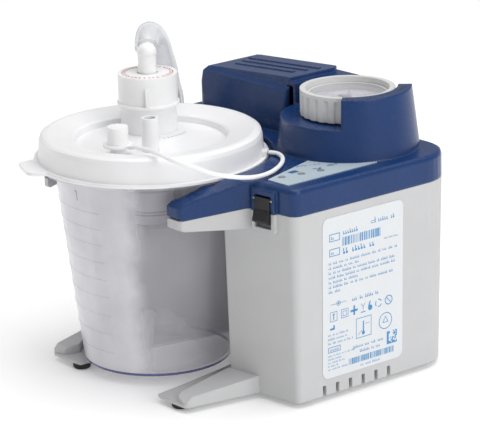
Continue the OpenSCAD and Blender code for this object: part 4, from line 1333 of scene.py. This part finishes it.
@dataclass
class VacuumControl:
    """The knob, the gauge inside it and the valve below.

    Attributes:
        scale_start: Angle of the scale's zero, in degrees.
        scale_sweep: Sweep of the scale, in degrees.
        mark_half: Angle from the shield's middle to the ends of its row of dashes, in degrees.
    """

    scale_start: float = 225.0
    scale_sweep: float = -270.0
    mark_half: float = 44.0

    def scale(self) -> None:
        """Prints the gauge's ticks and numbers."""
        mid = middle("gauge_dial")
        ink = from_above("gauge_dial", mid.x, mid.y)
        edge = 20.2
        for i in range(31):
            a = math.radians(self.scale_start + self.scale_sweep * i / 30)
            long, thick = (3.4, 0.5) if i % 5 == 0 else (1.8, 0.25)
            x, y = math.cos(a), math.sin(a)
            ink.stroke((edge - long) * x, (edge - long) * y, edge * x, edge * y, thick)
        ink.ring(0, 0, 20.8, 20.5, -45, 225, 72)
        ink.ring(0, 0, 11.2, 11.0, -45, 225, 60)
        ink.build("dial_scale", DIAL_INK, "housing", "dial")
        self.numbers(mid)

    def numbers(self, mid: Vector) -> None:
        """Sets the scale's numbers as flat meshes.

        Args:
            mid: Middle of the dial.
        """
        points: list[Vector] = []
        faces: list[Sequence[int]] = []
        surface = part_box("gauge_dial")[1].z + FILM
        radius = 14.2 * MM
        for i in range(7):
            font = bpy.data.curves.new("number", "FONT")
            font.body, font.size, font.align_x, font.align_y = str(i * 5), 3.6 * MM, "CENTER", "CENTER"
            holder = bpy.data.objects.new("number", font)
            data = bpy.data.meshes.new_from_object(holder)
            a = math.radians(self.scale_start + self.scale_sweep * i / 6)
            base = len(points)
            x, y = mid.x + radius * math.cos(a), mid.y + radius * math.sin(a)
            points += [Vector((v.co.x + x, v.co.y + y, surface)) for v in data.vertices]
            faces += [[base + k for k in f.vertices] for f in data.polygons]
            bpy.data.objects.remove(holder)
            bpy.data.curves.remove(font)
            bpy.data.meshes.remove(data)
        add_piece("dial_numbers", points, faces, DIAL_INK, "housing")

    def shield_marks(self) -> None:
        """Prints a row of plain dashes round the shield's top."""
        mid = middle("regulator_knob")
        ink = from_above("upper_housing", mid.x, mid.y)
        chance = random.Random(17)
        angle = -self.mark_half
        while angle < self.mark_half:
            wide = chance.choice((2.2, 3.0, 3.8))
            ink.ring(0, 0, 35.6, 34.8, angle, angle + wide, 2)
            ink.ring(0, 0, 34.8, 32.8, angle, angle + 0.9, 1)
            if chance.random() < 0.5:
                ink.ring(0, 0, 33.6, 32.8, angle, angle + wide, 2)
            angle += wide + chance.choice((1.2, 1.2, 4.5))
        ink.build("shield_marks", SHIELD_INK, "housing", "blue_shell")

    def build(self) -> None:
        """Dresses the control and prints its scale."""
        dress(KNOB, "regulator_knob", "gauge_case")
        dress(DIAL_CARD, "gauge_dial")
        dress(NEEDLE_PAINT, "gauge_needle")
        dress(WINDOW_CLEAR, "gauge_window")
        dress(BRASS, "regulator_body", "regulator_sleeve")
        dress(STEEL, "regulator_spring")
        self.scale()
        self.shield_marks()


@dataclass
class Drive:
    """Battery, board, motor, pump and the inner tubes."""

    def build(self) -> None:
        """Dresses the inner parts."""
        dress(CELL_WRAP, "battery_pack")
        dress(DARK_ABS, "battery_strap", "motor_endcap", "pump_head", "exhaust_muffler")
        dress(SOLDER_MASK, "circuit_board")
        dress(CAST_ALLOY, "pump_bracket", "pump_cylinder", "valve_plate")
        dress(CAN_STEEL, "motor_can")
        dress(STEEL, "motor_shaft", "crank_bearing", "bracket_screws", "head_screws")
        dress(BRASS, "counterweight")
        dress(PUMP_GREY, "piston_rod", "vacuum_barb")
        dress(BLACK_RUBBER, "bracket_grommets", "piston_cup")
        dress(SILICONE, "vacuum_line", "pump_line", "exhaust_line")


@dataclass
class Canister:
    """The clear bottle with its moulded scale.

    Attributes:
        rings: Heights of the scale lines above the bottle's base, in millimetres.
        ring_span: Directions where the scale lines start and end, in degrees.
        pointer_side: Direction of the printed fill mark, in degrees.
        cast_from: How far from the axis the search for the wall starts, in metres.
    """

    rings: tuple[float, ...] = (14, 26, 38, 50, 61, 72, 83, 93, 103)
    ring_span: tuple[float, float] = (222.0, 288.0)
    pointer_side: float = 271.0
    cast_from: float = 0.2

    def foot(self) -> Vector:
        """Gives the middle of the bottle's base."""
        axis = middle("bottle")
        return Vector((axis.x, axis.y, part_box("bottle")[0].z))

    def on_wall(self, foot: Vector, angle: float, rise: float, grow: float) -> Vector:
        """A point just outside the bottle's wall.

        Args:
            foot: Middle of the bottle's base, found once because finding it is slow.
            angle: Its direction from the axis, in degrees.
            rise: Its height above the bottle's base, in millimetres.
            grow: Its distance from the wall, in millimetres.

        Returns:
            The point.
        """
        a = math.radians(angle)
        out = Vector((math.cos(a), math.sin(a), 0.0))
        start = Vector((foot.x, foot.y, foot.z + rise * MM)) + out * self.cast_from
        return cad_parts["bottle"].ray_cast(start, -out)[1] + out * (grow * MM)

    def scale(self) -> None:
        """Adds the raised scale lines on the left of the bottle."""
        points: list[Vector] = []
        faces: list[Sequence[int]] = []
        section = ((-0.35, -0.05), (-0.2, 0.22), (0.2, 0.22), (0.35, -0.05))
        foot = self.foot()
        start, end = self.ring_span
        cut = 36
        for rise in self.rings:
            angles = [start + (end - start) * k / cut for k in range(cut + 1)]
            rows = [[self.on_wall(foot, a, rise + dz, grow) for dz, grow in section] for a in angles]
            weave(points, faces, rows)
        add_piece("bottle_scale", points, faces, GRADUATION, "canister", smooth=True)

    def pointer(self) -> None:
        """Prints the short upright mark at the top of the scale."""
        a = math.radians(self.pointer_side)
        out = Vector((math.cos(a), math.sin(a), 0.0))
        origin = self.foot() + out * self.cast_from
        ink = Decal("bottle", origin, Vector((-out.y, out.x, 0.0)), UP)
        ink.bar(-0.3, 109.0, 0.6, 6.0)
        ink.bar(-1.6, 114.4, 1.6, 0.6)
        ink.build("fill_mark", DIAL_INK, "canister", "clear_bottle")

    def rim(self) -> None:
        """Adds painted shade: a dark line round the base's edge, where the clear edge gathers light."""
        points: list[Vector] = []
        faces: list[Sequence[int]] = []
        cut = 144
        heights = (0.9, 1.4, 2.0, 2.7)
        foot = self.foot()
        rows = [[self.on_wall(foot, 360.0 * k / cut, rise, 0.04) for rise in heights] for k in range(cut)]
        weave(points, faces, rows, closed=True)
        # painted shade: this ring darkens the base's edge, which is clear plastic that only looks dark
        # there
        add_piece("bottle_rim_painted_shade", points, faces, BASE_RIM_SHADE, "canister", smooth=True)

    def build(self) -> None:
        """Dresses the bottle and adds its scale."""
        dress(BOTTLE_CLEAR, "bottle")
        self.scale()
        self.pointer()
        self.rim()


@dataclass
class Lid:
    """The lid with its ports, filter cartridge, cap, elbow and tether.

    Attributes:
        tether_route: Points of the tether in millimetres, about the bottle's axis.
        tether_radius: Half its width.
    """

    tether_route: tuple[tuple[float, float, float], ...] = (
        (21.8, -32.5, 146.2), (28, -33, 148), (44, -35, 149.5), (60, -40, 151), (72, -40, 150),
        (81, -34, 147), (87, -24, 142), (91, -10, 138), (93, 3, 136), (90, 17, 135.5),
        (82, 31, 135.5), (72, 41, 135.5),
        (62, 46, 135), (55, 45.5, 134.5))
    tether_radius: float = 1.3 * MM

    def tether(self) -> None:
        """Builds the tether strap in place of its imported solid."""
        made = tube("tether_strap", about_bottle(self.tether_route, 8), self.tether_radius, 0.0, UP,
                    WHITE_PART, "canister_lid", 20)
        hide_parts("cap_tether")

    def cap_print(self) -> None:
        """Prints a plain dashed ring on the cartridge's cap."""
        centre = middle("filter_cartridge")
        ink = from_above("cartridge_cap", centre.x, centre.y)
        chance = random.Random(11)
        angle = 0.0
        while angle < 352.0:
            wide = chance.choice((5.0, 6.5, 8.0))
            ink.ring(0, 0, 15.6, 14.9, angle, angle + wide, 3)
            ink.ring(0, 0, 13.9, 13.3, angle, angle + wide * 0.8, 3)
            ink.ring(0, 0, 15.6, 13.3, angle, angle + 1.6, 2)
            angle += wide + chance.choice((3.0, 3.0, 6.0))
        ink.build("cap_print", RED_INK, "cap_ring", "white_plastic")

    def beads(self) -> None:
        """Raises small plain marks on the dish of the lid."""
        centre = middle("filter_cartridge")
        decal = from_above("lid", centre.x, centre.y, 0.0, 0.35 * MM)
        for start, count in ((-32.0, 9), (150.0, 8)):
            for i in range(count):
                a = start + 7.0 * i
                decal.ring(0, 0, 25.0, 22.6, a, a + 3.0, 2)
        decal.build("lid_marks", WHITE_LID, "canister_lid", "white_lid")

    def build(self) -> None:
        """Dresses the lid and adds its small pieces."""
        dress(WHITE_LID, "lid")
        dress(WHITE_PART, "cartridge_cap", "elbow", "port_cap")
        dress(SILICONE, "lid_seal")
        dress(CAGE_CLEAR, "float_cage")
        dress(FLOAT_WHITE, "shutoff_float")
        dress(FILTER_FIBRE, "filter_cartridge")
        self.tether()
        self.cap_print()
        self.beads()


def main() -> None:
    """Builds the stage and every sub-assembly in order."""
    logging.basicConfig(level=logging.INFO, format="%(message)s")
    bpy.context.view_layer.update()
    parts = (Studio(), Hose(), Shells(), RatingLabel(), ControlPanel(), VacuumControl(), Drive(),
             Canister(), Lid())
    for part in parts:
        part.build()
        LOG.info("built %s", type(part).__name__)


if __name__ == "__main__":
    main()
